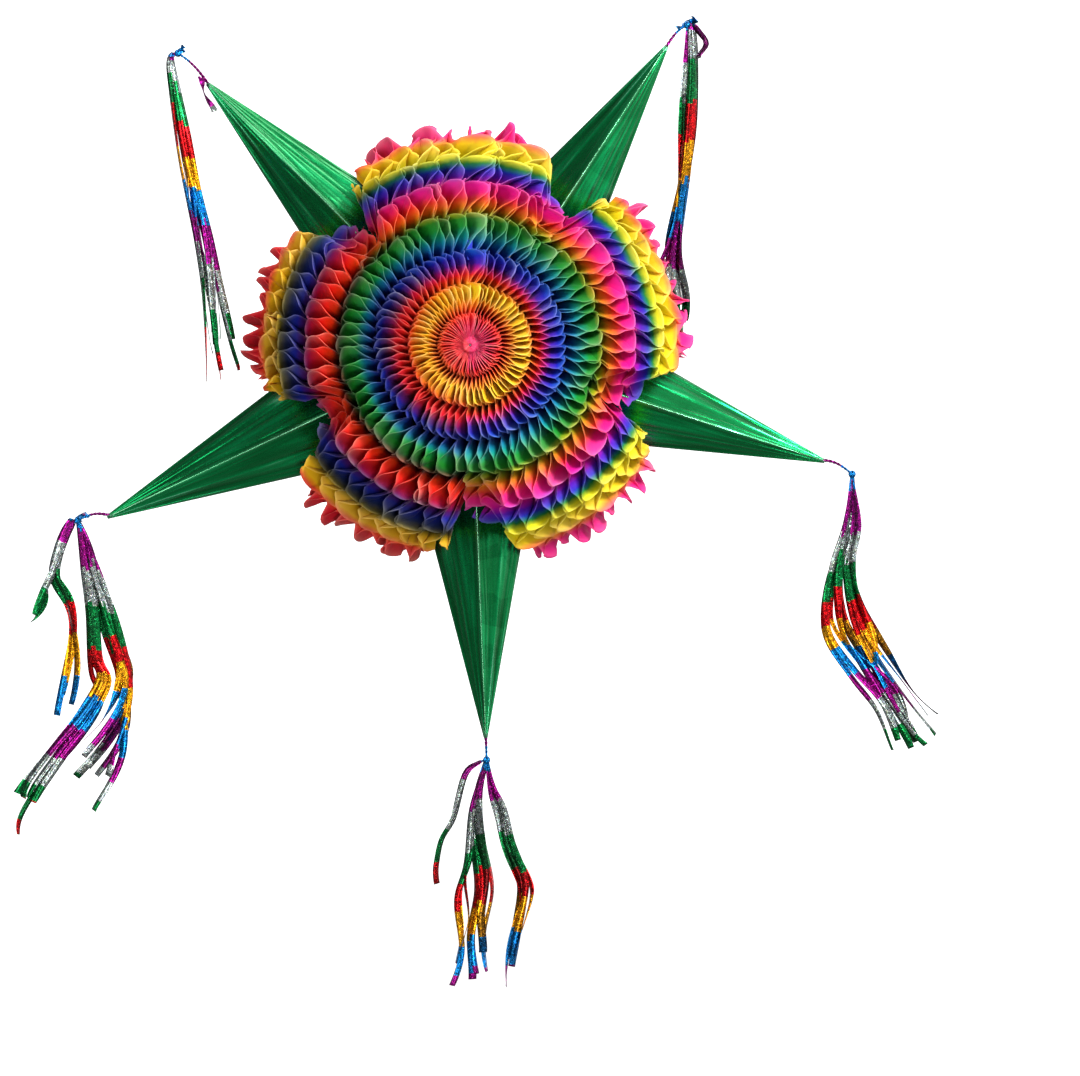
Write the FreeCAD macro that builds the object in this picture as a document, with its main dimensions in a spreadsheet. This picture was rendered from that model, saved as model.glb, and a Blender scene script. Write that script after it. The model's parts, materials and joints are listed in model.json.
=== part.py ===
"""Folding five-point star pinata: a honeycomb tissue ball on a card core, with five foil cones.

Frame: millimetres, +Z up, +X to the right of a viewer in front, +Y away from that viewer.
The origin is the centre of the hanging eye. The ball's centre is body_drop below it, and the
honeycomb pages open like a fan round the spine, the line through the ball's centre along Y.
Angles of the star's points are counted anticlockwise from +X, as the viewer sees them.
"""

import FreeCAD
import Part
import Sketcher
import math
import os

POINTS = ["upper_left", "upper_right", "lower_right", "bottom", "lower_left"]

DIMENSIONS = {
    # the honeycomb tissue ball
    "body_radius": 205,
    "body_half_depth": 138,
    "body_drop": 222,
    "page_gap_deg": 0.25,
    "piece_clearance": 0.3,
    # the folded card core that holds the sweets
    "core_apothem": 108,
    "core_depth": 150,
    "core_card": 2,
    "mouth_cutback": 25,
    # the two cover boards that close the fan, and their hanging tab
    "board_thickness": 1.5,
    "board_inset": 2,
    "board_gap": 2.7,
    "tab_radius": 11,
    "eye_radius": 4,
    "eyelet_barrel_radius": 5,
    "eyelet_flange_radius": 7.5,
    "eyelet_flange": 1,
    "rope_hole_radius": 2,
    "rope_hole_offset": 17,
    "rope_hole_drop": 8,
    "rope_hole_rim": 6,
    "board_neck_depth": 30,
    "clip_height": 20,
    "clip_level": 96,
    "clip_depth": 26,
    "clip_overhang": 6,
    "clip_wall": 1,
    "spine_wire_radius": 1,
    # the foil card cones: square in section, with a ridge to the front and one to the back
    "cone_half_angle": 12.3,
    "cone_card": 0.8,
    "cone_blunt": 2.4,
    "cone_solid_tip": 16,
    "reach_upper_left": 391.7,
    "reach_upper_right": 378.6,
    "reach_lower_right": 391.2,
    "reach_bottom": 409.8,
    "reach_lower_left": 420.5,
    "angle_upper_left": 134.8,
    "angle_upper_right": 56.9,
    "angle_lower_right": -17.7,
    "angle_bottom": -87.7,
    "angle_lower_left": 205,
    # the twisted foil stems: from each cone's tip to the pivot of its tassel
    "stem_root_radius": 2.2,
    "stem_end_radius": 1.3,
    "stem_right_upper_left": -30.5,
    "stem_up_upper_left": 31.5,
    "stem_right_upper_right": 21,
    "stem_up_upper_right": 22,
    "stem_right_lower_right": 28.5,
    "stem_up_lower_right": -13.5,
    "stem_right_bottom": 1,
    "stem_up_bottom": -23,
    "stem_right_lower_left": -30.5,
    "stem_up_lower_left": -3,
    # the tassels: drop, sideways path (drift at the end, one bow, one S-bend), half widths
    "knot_radius": 5,
    "tassel_gap": 1,
    "tassel_flatness": 0.42,
    "drop_upper_left": 350,
    "drop_upper_right": 342,
    "drop_lower_right": 293,
    "drop_bottom": 240,
    "drop_lower_left": 334,
    "drift_upper_left": 42,
    "drift_upper_right": -5,
    "drift_lower_right": 64,
    "drift_bottom": 15,
    "drift_lower_left": -42,
    "bow_upper_left": -4,
    "bow_upper_right": -6,
    "bow_lower_right": -54,
    "bow_bottom": -7,
    "bow_lower_left": 39,
    "sway_upper_left": -3,
    "sway_upper_right": 8,
    "sway_lower_right": 4,
    "sway_bottom": -8,
    "sway_lower_left": -13,
    "spread_upper_left": 14,
    "spread_upper_right": 11,
    "spread_lower_right": 33,
    "spread_bottom": 32,
    "spread_lower_left": 30,
    "tassel_top_half_width": 4,
    # the hanging rope, tied up in a hank behind the ball
    "rope_diameter": 3,
    "rope_knot_radius": 4.2,
    "rope_knot_length": 8,
    "hank_length": 131,
    "hank_back": 159,
    "hank_drop": 160,
    "hank_waist": 10.5,
    "hank_loop": 19,
    "hank_end": 9,
    "hank_thickness": 9,
}

# The rope's way from the cover boards to the hank, lying over the shoulder of the ball:
# (right, back, up) of each corner of the route, in the part's frame.
ROPE_ROUTE = [
    (-1.6, 17, -8),
    (10, 17, -8),
    (21, 25, -3),
    (25, 40, 0),
    (21, 58, -6),
    (13, 77, -20),
    (6, 95, -40),
    (1, 113, -66),
    (-2, 130, -96),
    (0, 146, -122),
    (0, 157, -149.5),
]

TASSEL_STATIONS = 7
TO_FRONT = FreeCAD.Vector(0, -1, 0)
ALONG_X = FreeCAD.Vector(1, 0, 0)
ALONG_Y = FreeCAD.Vector(0, 1, 0)
TURN_Z_TO_X = FreeCAD.Rotation(ALONG_Y, 90)
TURN_Z_TO_FRONT = FreeCAD.Rotation(ALONG_X, 90)

doc = FreeCAD.newDocument("StarPinata")
sheet = doc.addObject("Spreadsheet::Sheet", "Dimensions")
for row, (alias, value) in enumerate(DIMENSIONS.items(), start=1):
    sheet.set(f"A{row}", alias)
    sheet.set(f"B{row}", str(value))
    sheet.setAlias(f"B{row}", alias)
doc.recompute()

sub_parts = []


def size(alias):
    """A driving dimension, read back from the sheet."""
    return float(sheet.get(alias))


def bind(thing, **expressions):
    """Bind properties of an object to expressions on the sheet's cells."""
    for prop, expression in expressions.items():
        thing.setExpression(prop, expression)


def primitive(kind, name, base=None, turn=None, **expressions):
    """A Part primitive with bound sizes, turned and then moved to its place."""
    thing = doc.addObject(f"Part::{kind}", name)
    bind(thing, **expressions)
    thing.Placement = FreeCAD.Placement(base or FreeCAD.Vector(), turn or FreeCAD.Rotation())
    return thing


def cell(alias):
    """The expression that reads one cell."""
    return f"Dimensions.{alias}"


def box(name, low, high):
    """A box between two corners whose coordinates are expressions."""
    thing = doc.addObject("Part::Box", name)
    for prop, near, far in zip(("Length", "Width", "Height"), low, high):
        thing.setExpression(prop, f"({far}) - ({near})")
    for axis, near in zip("xyz", low):
        thing.setExpression(f".Placement.Base.{axis}", near)
    return thing


def cut(name, base, tool):
    """base with tool taken away."""
    thing = doc.addObject("Part::Cut", name)
    thing.Base = base
    thing.Tool = tool
    return thing


def fuse(name, shapes):
    """Several shapes made one."""
    thing = doc.addObject("Part::MultiFuse", name)
    thing.Shapes = shapes
    return thing


def common(name, shapes):
    """What several shapes share."""
    thing = doc.addObject("Part::MultiCommon", name)
    thing.Shapes = shapes
    return thing


def loft(name, sections, ruled=False):
    """A solid through closed sections."""
    thing = doc.addObject("Part::Loft", name)
    thing.Sections = sections
    thing.Solid = True
    thing.Ruled = ruled
    return thing


def sub_part(thing, label):
    """Mark an object as one of the pinata's pieces: its label names its file."""
    thing.Label = label
    sub_parts.append(thing)
    return thing


def on_star(point, distance, back=0.0):
    """The place at a distance from the ball's centre towards one point of the star."""
    angle = math.radians(size(f"angle_{point}"))
    across = distance * math.cos(angle)
    up = distance * math.sin(angle) - size("body_drop")
    return FreeCAD.Vector(across, back, up)


def outward(point):
    """The turn that takes +Z to the direction of one point of the star."""
    return FreeCAD.Rotation(TO_FRONT, size(f"angle_{point}") - 90)


def tip(point):
    """The end of one cone, where its stem starts."""
    return on_star(point, size(f"reach_{point}"))


def pivot(point):
    """The place that one tassel swings about: the free end of its stem."""
    right = size(f"stem_right_{point}")
    up = size(f"stem_up_{point}")
    return tip(point) + FreeCAD.Vector(right, 0, up)


CENTRE = FreeCAD.Vector(0, 0, -size("body_drop"))


# ---------------------------------------------------------------- card core
def half_turn(point, neighbour):
    """Half the angle between two neighbouring points of the star, in degrees."""
    return (size(f"angle_{neighbour}") - size(f"angle_{point}")) % 360 / 2


# going round anticlockwise from the lower right point
ROUND = ["lower_right", "upper_right", "upper_left", "lower_left", "bottom"]
NEXT = {point: ROUND[(i + 1) % len(ROUND)] for i, point in enumerate(ROUND)}
BEFORE = {after: point for point, after in NEXT.items()}


def five_sided(name, apothem, thickness):
    """A PartDesign plate with one side square to each point of the star, built in plane XZ."""
    body = doc.addObject("PartDesign::Body", name)
    sketch = body.newObject("Sketcher::SketchObject", name + "Outline")
    plane = [f for f in body.Origin.OriginFeatures if f.Role == "XZ_Plane"][0]
    sketch.AttachmentSupport = [(plane, "")]
    sketch.MapMode = "FlatFace"
    reach = size(apothem)
    corners = []
    for point in ROUND:
        half = math.radians(half_turn(point, NEXT[point]))
        middle = math.radians(size(f"angle_{point}")) + half
        far = reach / math.cos(half)
        corners.append(FreeCAD.Vector(far * math.cos(middle), far * math.sin(middle), 0))
    for i, corner in enumerate(corners):
        sketch.addGeometry(Part.LineSegment(corners[i - 1], corner), False)
    for i in range(len(corners)):
        sketch.addConstraint(Sketcher.Constraint("Coincident", i - 1 if i else len(corners) - 1, 2, i, 1))
    for i, point in enumerate(ROUND):
        direction = size(f"angle_{point}") + 90
        sketch.addConstraint(Sketcher.Constraint("Angle", i, math.radians(direction)))
        side = sketch.addConstraint(Sketcher.Constraint("Distance", -1, 1, i, reach))
        sketch.setExpression(f"Constraints[{side}]", cell(apothem))
    pad = body.newObject("PartDesign::Pad", name + "Pad")
    pad.Profile = sketch
    pad.Midplane = True
    pad.setExpression("Length", thickness)
    return body


for side, sign in (("front", -1), ("back", 1)):
    plate = five_sided(f"Core{side.title()}", "core_apothem", cell("core_card"))
    reach = sign * (size("core_depth") + size("core_card")) / 2
    plate.Placement = FreeCAD.Placement(CENTRE + FreeCAD.Vector(0, reach, 0), FreeCAD.Rotation())
    sub_part(plate, f"core_{side}_board")


def wall_reach(point, half, cutback):
    """The expression for how far one wall of the core runs from its middle to one of its ends."""
    share = math.tan(math.radians(half))
    room = f"({cell('core_apothem')} - {cell('core_card')}) * {share:.6f}"
    return f"{room} - {cutback} - {cell('piece_clearance')} / 2"


# Each wall is as wide as its side of the five-sided plates, less the card of its neighbours.
# The two upper walls stop short of each other and leave the filling mouth.
for point in ROUND:
    after = half_turn(point, NEXT[point])
    before = half_turn(BEFORE[point], point)
    to_left = wall_reach(point, after, cell("mouth_cutback") if point == "upper_right" else "0")
    to_right = wall_reach(point, before, cell("mouth_cutback") if point == "upper_left" else "0")
    wall = doc.addObject("Part::Box", f"CoreWall_{point}")
    bind(wall, Length=f"({to_left}) + ({to_right})", Width=cell("core_depth"), Height=cell("core_card"))
    # the box's +X runs clockwise round the core, so its own corner is at the anticlockwise end
    end = (size("core_apothem") - size("core_card")) * math.tan(math.radians(after))
    end -= size("piece_clearance") / 2 + (size("mouth_cutback") if point == "upper_right" else 0)
    corner = FreeCAD.Vector(-end, -size("core_depth") / 2, size("core_apothem") - size("core_card"))
    turn = outward(point)
    wall.Placement = FreeCAD.Placement(CENTRE + turn.multVec(corner), turn)
    sub_part(wall, f"core_wall_{point}")

# ---------------------------------------------------------------- foil card cones
def square_section(name, point, distance, half_diagonal):
    """A square across one cone, its corners to the front, the back and both edges."""
    section = doc.addObject("Part::RegularPolygon", name)
    section.Polygon = 4
    section.setExpression("Circumradius", half_diagonal)
    section.Placement = FreeCAD.Placement(on_star(point, distance), outward(point))
    return section


def pyramid(name, point, near, far, grow):
    """A four-sided taper along one point of the star, its wall moved out by grow."""
    sections = []
    for end, distance in (("Root", near), ("Tip", far)):
        taper = f"({cell('reach_' + point)} - {distance}) * tan({cell('cone_half_angle')} * 1 deg)"
        half_diagonal = f"{taper} + {cell('cone_blunt')} + ({grow}) * sqrt(2)"
        sections.append(square_section(f"{name}{end}", point, distance, half_diagonal))
    return loft(name, sections, ruled=True)


for point in POINTS:
    root = size("core_apothem")
    reach = size(f"reach_{point}")
    skin = pyramid(f"ConeSkin_{point}", point, root, reach, "0")
    hollow_end = reach - size("cone_solid_tip")
    hollow = pyramid(f"ConeHollow_{point}", point, root - 1, hollow_end, f"-{cell('cone_card')}")
    sub_part(cut(f"Cone_{point}", skin, hollow), f"cone_{point}")

# ---------------------------------------------------------------- honeycomb tissue fans
pockets = [
    pyramid(
        f"ConePocket_{point}",
        point,
        size("core_apothem") - 20,
        size("core_apothem") + size("body_radius"),
        cell("piece_clearance"),
    )
    for point in POINTS
]
core_pocket = five_sided("CorePocket", "core_apothem", f"{cell('core_depth')} + 2 * {cell('core_card')}")
core_pocket.Placement = FreeCAD.Placement(CENTRE, FreeCAD.Rotation())
board_slot = box(
    "BoardSlot",
    (f"-{cell('board_gap')}", f"-{cell('body_radius')}", f"-{cell('body_drop')}"),
    (cell("board_gap"), cell("body_radius"), f"{cell('tab_radius')} * 2"),
)
spine_bore = primitive(
    "Cylinder",
    "SpineBore",
    base=CENTRE + FreeCAD.Vector(0, size("body_radius"), 0),
    turn=TURN_Z_TO_FRONT,
    Radius=f"{cell('spine_wire_radius')} + {cell('piece_clearance')}",
    Height=f"2 * {cell('body_radius')}",
)
fan_room = fuse("FanRoom", pockets + [core_pocket, board_slot, spine_bore])

BOARD_ANGLE = 90
FANS = [
    ("tissue_fan_right", size("angle_lower_right"), size("angle_upper_right")),
    ("tissue_fan_top_right", size("angle_upper_right"), BOARD_ANGLE),
    ("tissue_fan_top_left", BOARD_ANGLE, size("angle_upper_left")),
    ("tissue_fan_left", size("angle_upper_left"), size("angle_lower_left")),
    ("tissue_fan_bottom_left", size("angle_lower_left"), size("angle_bottom") + 360),
    ("tissue_fan_bottom_right", size("angle_bottom"), size("angle_lower_right")),
]
for label, first, last in FANS:
    fan = primitive(
        "Ellipsoid",
        label.title().replace("_", ""),
        base=CENTRE,
        turn=FreeCAD.Rotation(TO_FRONT, first + size("page_gap_deg") / 2) * TURN_Z_TO_FRONT,
        Radius1=cell("body_half_depth"),
        Radius2=cell("body_radius"),
        Radius3=cell("body_radius"),
        Angle3=f"{last - first} - {cell('page_gap_deg')}",
    )
    sub_part(cut("Cut" + fan.Name, fan, fan_room), label)

# ---------------------------------------------------------------- spine wires
for side, sign in (("front", -1), ("back", 1)):
    inner = size("core_depth") / 2 + size("core_card")
    away = FreeCAD.Rotation(ALONG_X, -90 * sign)
    wire = primitive(
        "Cylinder",
        f"SpineWire{side.title()}",
        base=CENTRE + FreeCAD.Vector(0, sign * inner, 0),
        turn=away,
        Radius=cell("spine_wire_radius"),
        Height=f"{cell('body_half_depth')} - {cell('core_depth')} / 2 - {cell('core_card')}",
    )
    sub_part(wire, f"{side}_spine_wire")

# ---------------------------------------------------------------- cover boards and eyelet
def hole_tool(name, back, up, radius):
    """A cylinder along X that drills through both boards and out of each side."""
    past = size("board_thickness") + 5
    return primitive(
        "Cylinder",
        name,
        base=FreeCAD.Vector(-past, back, up),
        turn=TURN_Z_TO_X,
        Radius=radius,
        Height=f"{2 * past} mm",
    )


rope_place = FreeCAD.Vector(0, size("rope_hole_offset"), -size("rope_hole_drop"))
eye_hole = hole_tool("EyeletHole", 0, 0, cell("eyelet_barrel_radius"))
rope_hole = hole_tool("RopeHole", rope_place.y, rope_place.z, cell("rope_hole_radius"))
board_cutters = fuse("BoardCutters", [eye_hole, rope_hole, core_pocket, spine_bore])

for side, sign in (("left", -1), ("right", 1)):
    x_low = f"-{cell('board_thickness')}" if sign < 0 else "0"
    x_high = "0" if sign < 0 else cell("board_thickness")
    slab = box(
        f"BoardSlab{side.title()}",
        (x_low, f"-{cell('body_half_depth')}", f"-{cell('body_drop')} + 1"),
        (x_high, cell("body_half_depth"), "0"),
    )
    ball = primitive(
        "Ellipsoid",
        f"BoardBall{side.title()}",
        base=CENTRE,
        turn=TURN_Z_TO_FRONT,
        Radius1=f"{cell('body_half_depth')} - {cell('board_inset')}",
        Radius2=f"{cell('body_radius')} - {cell('board_inset')}",
        Radius3=f"{cell('body_radius')} - {cell('board_inset')}",
    )
    arch = common(f"BoardArch{side.title()}", [slab, ball])
    neck = box(
        f"BoardNeck{side.title()}",
        (x_low, f"-{cell('tab_radius')}", f"-{cell('board_neck_depth')}"),
        (x_high, f"{cell('rope_hole_offset')} + {cell('rope_hole_rim')}", f"-{cell('rope_hole_drop')}"),
    )
    near_x = -size("board_thickness") if sign < 0 else 0
    crown = primitive(
        "Cylinder",
        f"BoardCrown{side.title()}",
        base=FreeCAD.Vector(near_x, 0, 0),
        turn=TURN_Z_TO_X,
        Radius=cell("tab_radius"),
        Height=cell("board_thickness"),
    )
    ear = primitive(
        "Cylinder",
        f"BoardEar{side.title()}",
        base=FreeCAD.Vector(near_x, rope_place.y, rope_place.z),
        turn=TURN_Z_TO_X,
        Radius=cell("rope_hole_rim"),
        Height=cell("board_thickness"),
    )
    blank = fuse(f"BoardBlank{side.title()}", [arch, neck, crown, ear])
    sub_part(cut(f"Board{side.title()}", blank, board_cutters), f"cover_board_{side}")


def eyelet():
    """The rolled eyelet: a barrel through both boards with a flange on each side."""
    body = doc.addObject("PartDesign::Body", "Eyelet")
    sketch = body.newObject("Sketcher::SketchObject", "EyeletProfile")
    plane = [f for f in body.Origin.OriginFeatures if f.Role == "XY_Plane"][0]
    sketch.AttachmentSupport = [(plane, "")]
    sketch.MapMode = "FlatFace"
    half = size("board_thickness")
    end = half + size("eyelet_flange")
    bore, barrel, flange = (size(f) for f in ("eye_radius", "eyelet_barrel_radius", "eyelet_flange_radius"))
    outline = [
        (-end, bore),
        (end, bore),
        (end, flange),
        (half, flange),
        (half, barrel),
        (-half, barrel),
        (-half, flange),
        (-end, flange),
    ]
    last = len(outline) - 1
    corners = [FreeCAD.Vector(x, y, 0) for x, y in outline]
    for i in range(len(outline)):
        sketch.addGeometry(Part.LineSegment(corners[i - 1], corners[i]), False)
    for i in range(len(outline)):
        sketch.addConstraint(Sketcher.Constraint("Coincident", i - 1 if i else last, 2, i, 1))
        across = abs(corners[i].y - corners[i - 1].y) < 1e-6
        sketch.addConstraint(Sketcher.Constraint("Horizontal" if across else "Vertical", i))
    half_length = f"{cell('board_thickness')} + {cell('eyelet_flange')}"
    # line i ends at outline[i]: x or y of that end is held by one bound distance each
    held = [
        ("DistanceX", 1, half_length),
        ("DistanceY", 1, cell("eye_radius")),
        ("DistanceY", 2, cell("eyelet_flange_radius")),
        ("DistanceX", 3, cell("board_thickness")),
        ("DistanceY", 4, cell("eyelet_barrel_radius")),
        ("DistanceX", 5, f"-{cell('board_thickness')}"),
        ("DistanceY", 6, cell("eyelet_flange_radius")),
        ("DistanceX", 7, f"-({half_length})"),
    ]
    for kind, line, expression in held:
        value = corners[line].x if kind == "DistanceX" else corners[line].y
        number = sketch.addConstraint(Sketcher.Constraint(kind, -1, 1, line, 2, value))
        sketch.setExpression(f"Constraints[{number}]", expression)
    ring = body.newObject("PartDesign::Revolution", "EyeletRing")
    ring.Profile = sketch
    ring.ReferenceAxis = (sketch, ["H_Axis"])
    ring.Angle = 360
    return body


sub_part(eyelet(), "hanging_eyelet")

# A folded clip is pushed over both boards' edges at the front and at the back. It stands out past
# the edge by clip_overhang and opens towards the ball's middle.
clip_share = (size("clip_level") / (size("body_radius") - size("board_inset"))) ** 2
board_edge = (size("body_half_depth") - size("board_inset")) * math.sqrt(1 - clip_share)
clip_end = board_edge + size("clip_overhang")
for side, sign in (("front", -1), ("back", 1)):
    half = f"{cell('board_thickness')} + {cell('clip_wall')}"
    middle = f"{cell('clip_level')} - {cell('body_drop')}"
    low = f"{middle} - {cell('clip_height')} / 2"
    high = f"{middle} + {cell('clip_height')} / 2"
    shell_ends = sorted([sign * (clip_end - size("clip_depth")), sign * clip_end])
    # the slot starts a little inside the ball, so that it leaves no skin over the clip's mouth
    slot_start = clip_end - size("clip_depth") - size("clip_wall")
    slot_ends = sorted([sign * slot_start, sign * (clip_end - size("clip_wall"))])
    shell = box(
        f"ClipShell{side.title()}",
        (f"-({half})", f"{shell_ends[0]}", low),
        (half, f"{shell_ends[1]}", high),
    )
    slot = box(
        f"ClipSlot{side.title()}",
        (f"-{cell('board_thickness')}", f"{slot_ends[0]}", f"({low}) - 1"),
        (cell("board_thickness"), f"{slot_ends[1]}", f"({high}) + 1"),
    )
    sub_part(cut(f"Clip{side.title()}", shell, slot), f"board_clip_{side}")

# ---------------------------------------------------------------- stems, knots and tassels
for point in POINTS:
    way = pivot(point) - tip(point)
    # a stem leans from its cone's axis, so it starts far enough out for its rim to touch the tip
    lean = outward(point).multVec(FreeCAD.Vector(0, 0, 1)).getAngle(way)
    lift = size("stem_root_radius") * math.sin(lean)
    run = way.Length - lift - size("knot_radius") - size("piece_clearance")
    stem = primitive(
        "Cone",
        f"Stem_{point}",
        base=tip(point) + FreeCAD.Vector(way).normalize() * lift,
        turn=FreeCAD.Rotation(FreeCAD.Vector(0, 0, 1), way),
        Radius1=cell("stem_root_radius"),
        Radius2=cell("stem_end_radius"),
        Height=f"{run:.4f}",
    )
    sub_part(stem, f"stem_{point}")
    knot = primitive("Sphere", f"Knot_{point}", base=pivot(point), Radius=cell("knot_radius"))
    sub_part(knot, f"tassel_knot_{point}")


def sideways(point, share):
    """How far the middle of a tassel lies to the right of its pivot, at a share of its drop."""
    drift = size(f"drift_{point}") * share
    bow = size(f"bow_{point}") * math.sin(math.pi * share)
    sway = size(f"sway_{point}") * math.sin(2 * math.pi * share)
    return drift + bow + sway


for point in POINTS:
    start = size("knot_radius") + size("tassel_gap")
    sections = []
    for station in range(TASSEL_STATIONS):
        share = station / (TASSEL_STATIONS - 1)
        fall = start + (size(f"drop_{point}") - start) * share
        top = cell("tassel_top_half_width")
        half_width = f"{top} + ({cell('spread_' + point)} - {top}) * {share:.4f}"
        place = pivot(point) + FreeCAD.Vector(sideways(point, share), 0, -fall)
        sections.append(
            primitive(
                "Ellipse",
                f"TasselSection_{point}_{station}",
                base=place,
                MajorRadius=half_width,
                MinorRadius=f"({half_width}) * {cell('tassel_flatness')}",
            )
        )
    sub_part(loft(f"Tassel_{point}", sections), f"tassel_{point}")

# ---------------------------------------------------------------- rope
knot_end = FreeCAD.Vector(ROPE_ROUTE[0][0] - size("rope_knot_length"), ROPE_ROUTE[0][1], ROPE_ROUTE[0][2])
knot_blank = primitive(
    "Cylinder",
    "RopeKnotBlank",
    base=knot_end,
    turn=TURN_Z_TO_X,
    Radius=cell("rope_knot_radius"),
    Height=cell("rope_knot_length"),
)
doc.recompute()
rope_knot = doc.addObject("Part::Fillet", "RopeKnot")
rope_knot.Base = knot_blank
rope_knot.Edges = [
    (number, size("rope_knot_radius") * 0.55, size("rope_knot_radius") * 0.55)
    for number, edge in enumerate(knot_blank.Shape.Edges, start=1)
    if isinstance(edge.Curve, Part.Circle)
]
sub_part(rope_knot, "rope_stop_knot")


def rounded_path(corners):
    """Straight runs joined by tangent arcs, each as large as its two runs allow."""
    edges = []
    radii = []
    here = corners[0]
    for before, corner, after in zip(corners, corners[1:], corners[2:]):
        back = (before - corner).normalize()
        ahead = (after - corner).normalize()
        turn = math.pi - back.getAngle(ahead)
        set_back = 0.45 * min((before - corner).Length, (after - corner).Length)
        radius = set_back / math.tan(turn / 2)
        radii.append(radius)
        start = corner + back * set_back
        end = corner + ahead * set_back
        inward = (back + ahead).normalize()
        to_middle = radius / math.cos(turn / 2) - radius
        edges.append(Part.LineSegment(here, start).toShape())
        edges.append(Part.Arc(start, corner + inward * to_middle, end).toShape())
        here = end
    edges.append(Part.LineSegment(here, corners[-1]).toShape())
    return Part.Wire(edges), radii


path, radii = rounded_path([FreeCAD.Vector(*corner) for corner in ROPE_ROUTE])
section = Part.Wire(
    Part.makeCircle(size("rope_diameter") / 2, FreeCAD.Vector(*ROPE_ROUTE[0]), ALONG_X)
)
tail = doc.addObject("Part::Feature", "RopeTail")
tail.Shape = path.makePipeShell([section], True, True)
sub_part(tail, "rope_tail")
expected = math.pi * (size("rope_diameter") / 2) ** 2 * path.Length
print("rope tail: length", round(path.Length, 1), "mm, radii", [round(r, 1) for r in radii])
print("rope tail: volume over section times length", round(tail.Shape.Volume / expected, 4))

HANK_OUTLINE = [
    (-0.5, "hank_end"),
    (-0.3, "hank_loop"),
    (0, "hank_waist"),
    (0.3, "hank_loop"),
    (0.5, "hank_end"),
]
hank_sections = []
for number, (along, half_height) in enumerate(HANK_OUTLINE):
    place = FreeCAD.Vector(along * size("hank_length"), size("hank_back"), -size("hank_drop"))
    hank_sections.append(
        primitive(
            "Ellipse",
            f"HankSection{number}",
            base=place,
            turn=TURN_Z_TO_X,
            MajorRadius=cell(half_height),
            MinorRadius=f"min({cell('hank_thickness')}; {cell(half_height)})",
        )
    )
sub_part(loft("Hank", hank_sections), "rope_hank")


# ---------------------------------------------------------------- checks and export
doc.recompute()
for thing in doc.Objects:
    bad = [state for state in thing.State if state in ("Invalid", "Error")]
    if bad:
        raise RuntimeError(f"{thing.Name} ({thing.Label}) is {bad}")
for thing in sub_parts:
    if thing.Shape.isNull() or not thing.Shape.isValid():
        raise RuntimeError(f"{thing.Label} has no valid shape")
    if len(thing.Shape.Solids) != 1:
        raise RuntimeError(f"{thing.Label} is {len(thing.Shape.Solids)} solids")

os.makedirs("parts", exist_ok=True)
for thing in sub_parts:
    thing.Shape.exportStep(f"parts/{thing.Label}.step")
print(len(sub_parts), "pieces written")
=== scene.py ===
# %% [markdown]
# # A folding star pinata of honeycomb tissue, foil cones and streamers
#
# The real thing is sold flat. Two card boards open like a book round a spine, and a stack of dyed
# tissue pages, glued together in lines, fans out between them into a ball. Five cones of green foil
# card stand on a small card box inside, and each carries a tassel of glittering foil strips.
#
# The engineering model gives the places: the ball, the cones' tips, the points that the tassels
# swing about and the rope's way. Here every visible surface gets its real shape and finish.

# %% Load the engineering model
import functools
import json
import math
import random

import bmesh
import bpy
from mathutils import Matrix, Vector


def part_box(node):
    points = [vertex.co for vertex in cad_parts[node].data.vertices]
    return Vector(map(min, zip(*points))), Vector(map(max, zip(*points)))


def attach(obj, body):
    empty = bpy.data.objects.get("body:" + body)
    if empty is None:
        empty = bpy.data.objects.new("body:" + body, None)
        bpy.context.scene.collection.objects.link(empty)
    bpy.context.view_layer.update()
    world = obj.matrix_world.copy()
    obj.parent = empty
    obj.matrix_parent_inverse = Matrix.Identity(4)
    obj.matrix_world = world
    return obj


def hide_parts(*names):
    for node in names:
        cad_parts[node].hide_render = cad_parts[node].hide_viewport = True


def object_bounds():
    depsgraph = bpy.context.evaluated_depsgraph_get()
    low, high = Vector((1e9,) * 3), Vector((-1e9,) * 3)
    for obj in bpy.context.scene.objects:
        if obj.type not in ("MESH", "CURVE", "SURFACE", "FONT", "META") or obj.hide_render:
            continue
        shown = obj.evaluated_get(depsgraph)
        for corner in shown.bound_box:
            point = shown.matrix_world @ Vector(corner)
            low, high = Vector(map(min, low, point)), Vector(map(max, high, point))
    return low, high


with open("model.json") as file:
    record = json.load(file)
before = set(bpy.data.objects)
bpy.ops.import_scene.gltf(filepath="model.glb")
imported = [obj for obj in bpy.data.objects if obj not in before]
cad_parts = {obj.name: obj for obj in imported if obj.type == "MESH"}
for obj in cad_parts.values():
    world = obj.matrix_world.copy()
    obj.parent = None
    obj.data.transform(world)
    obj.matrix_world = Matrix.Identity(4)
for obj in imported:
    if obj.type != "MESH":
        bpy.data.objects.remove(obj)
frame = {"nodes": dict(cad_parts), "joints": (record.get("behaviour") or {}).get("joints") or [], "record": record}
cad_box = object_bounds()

nodes = frame["nodes"]
ROUND = ["lower_right", "upper_right", "upper_left", "lower_left", "bottom"]
print("pieces in the frame:", len(nodes), "box:", [tuple(round(c, 3) for c in p) for p in cad_box])

# %% [markdown]
# ## Driving sizes
#
# Everything is measured from the frame, so the looks follow if the frame changes. The spine wire
# lies on the ball's axis and starts at the front of the ball, so its box gives the middle and the
# depth. The right-hand fan of pages reaches furthest out, so its box gives the radius.

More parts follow.
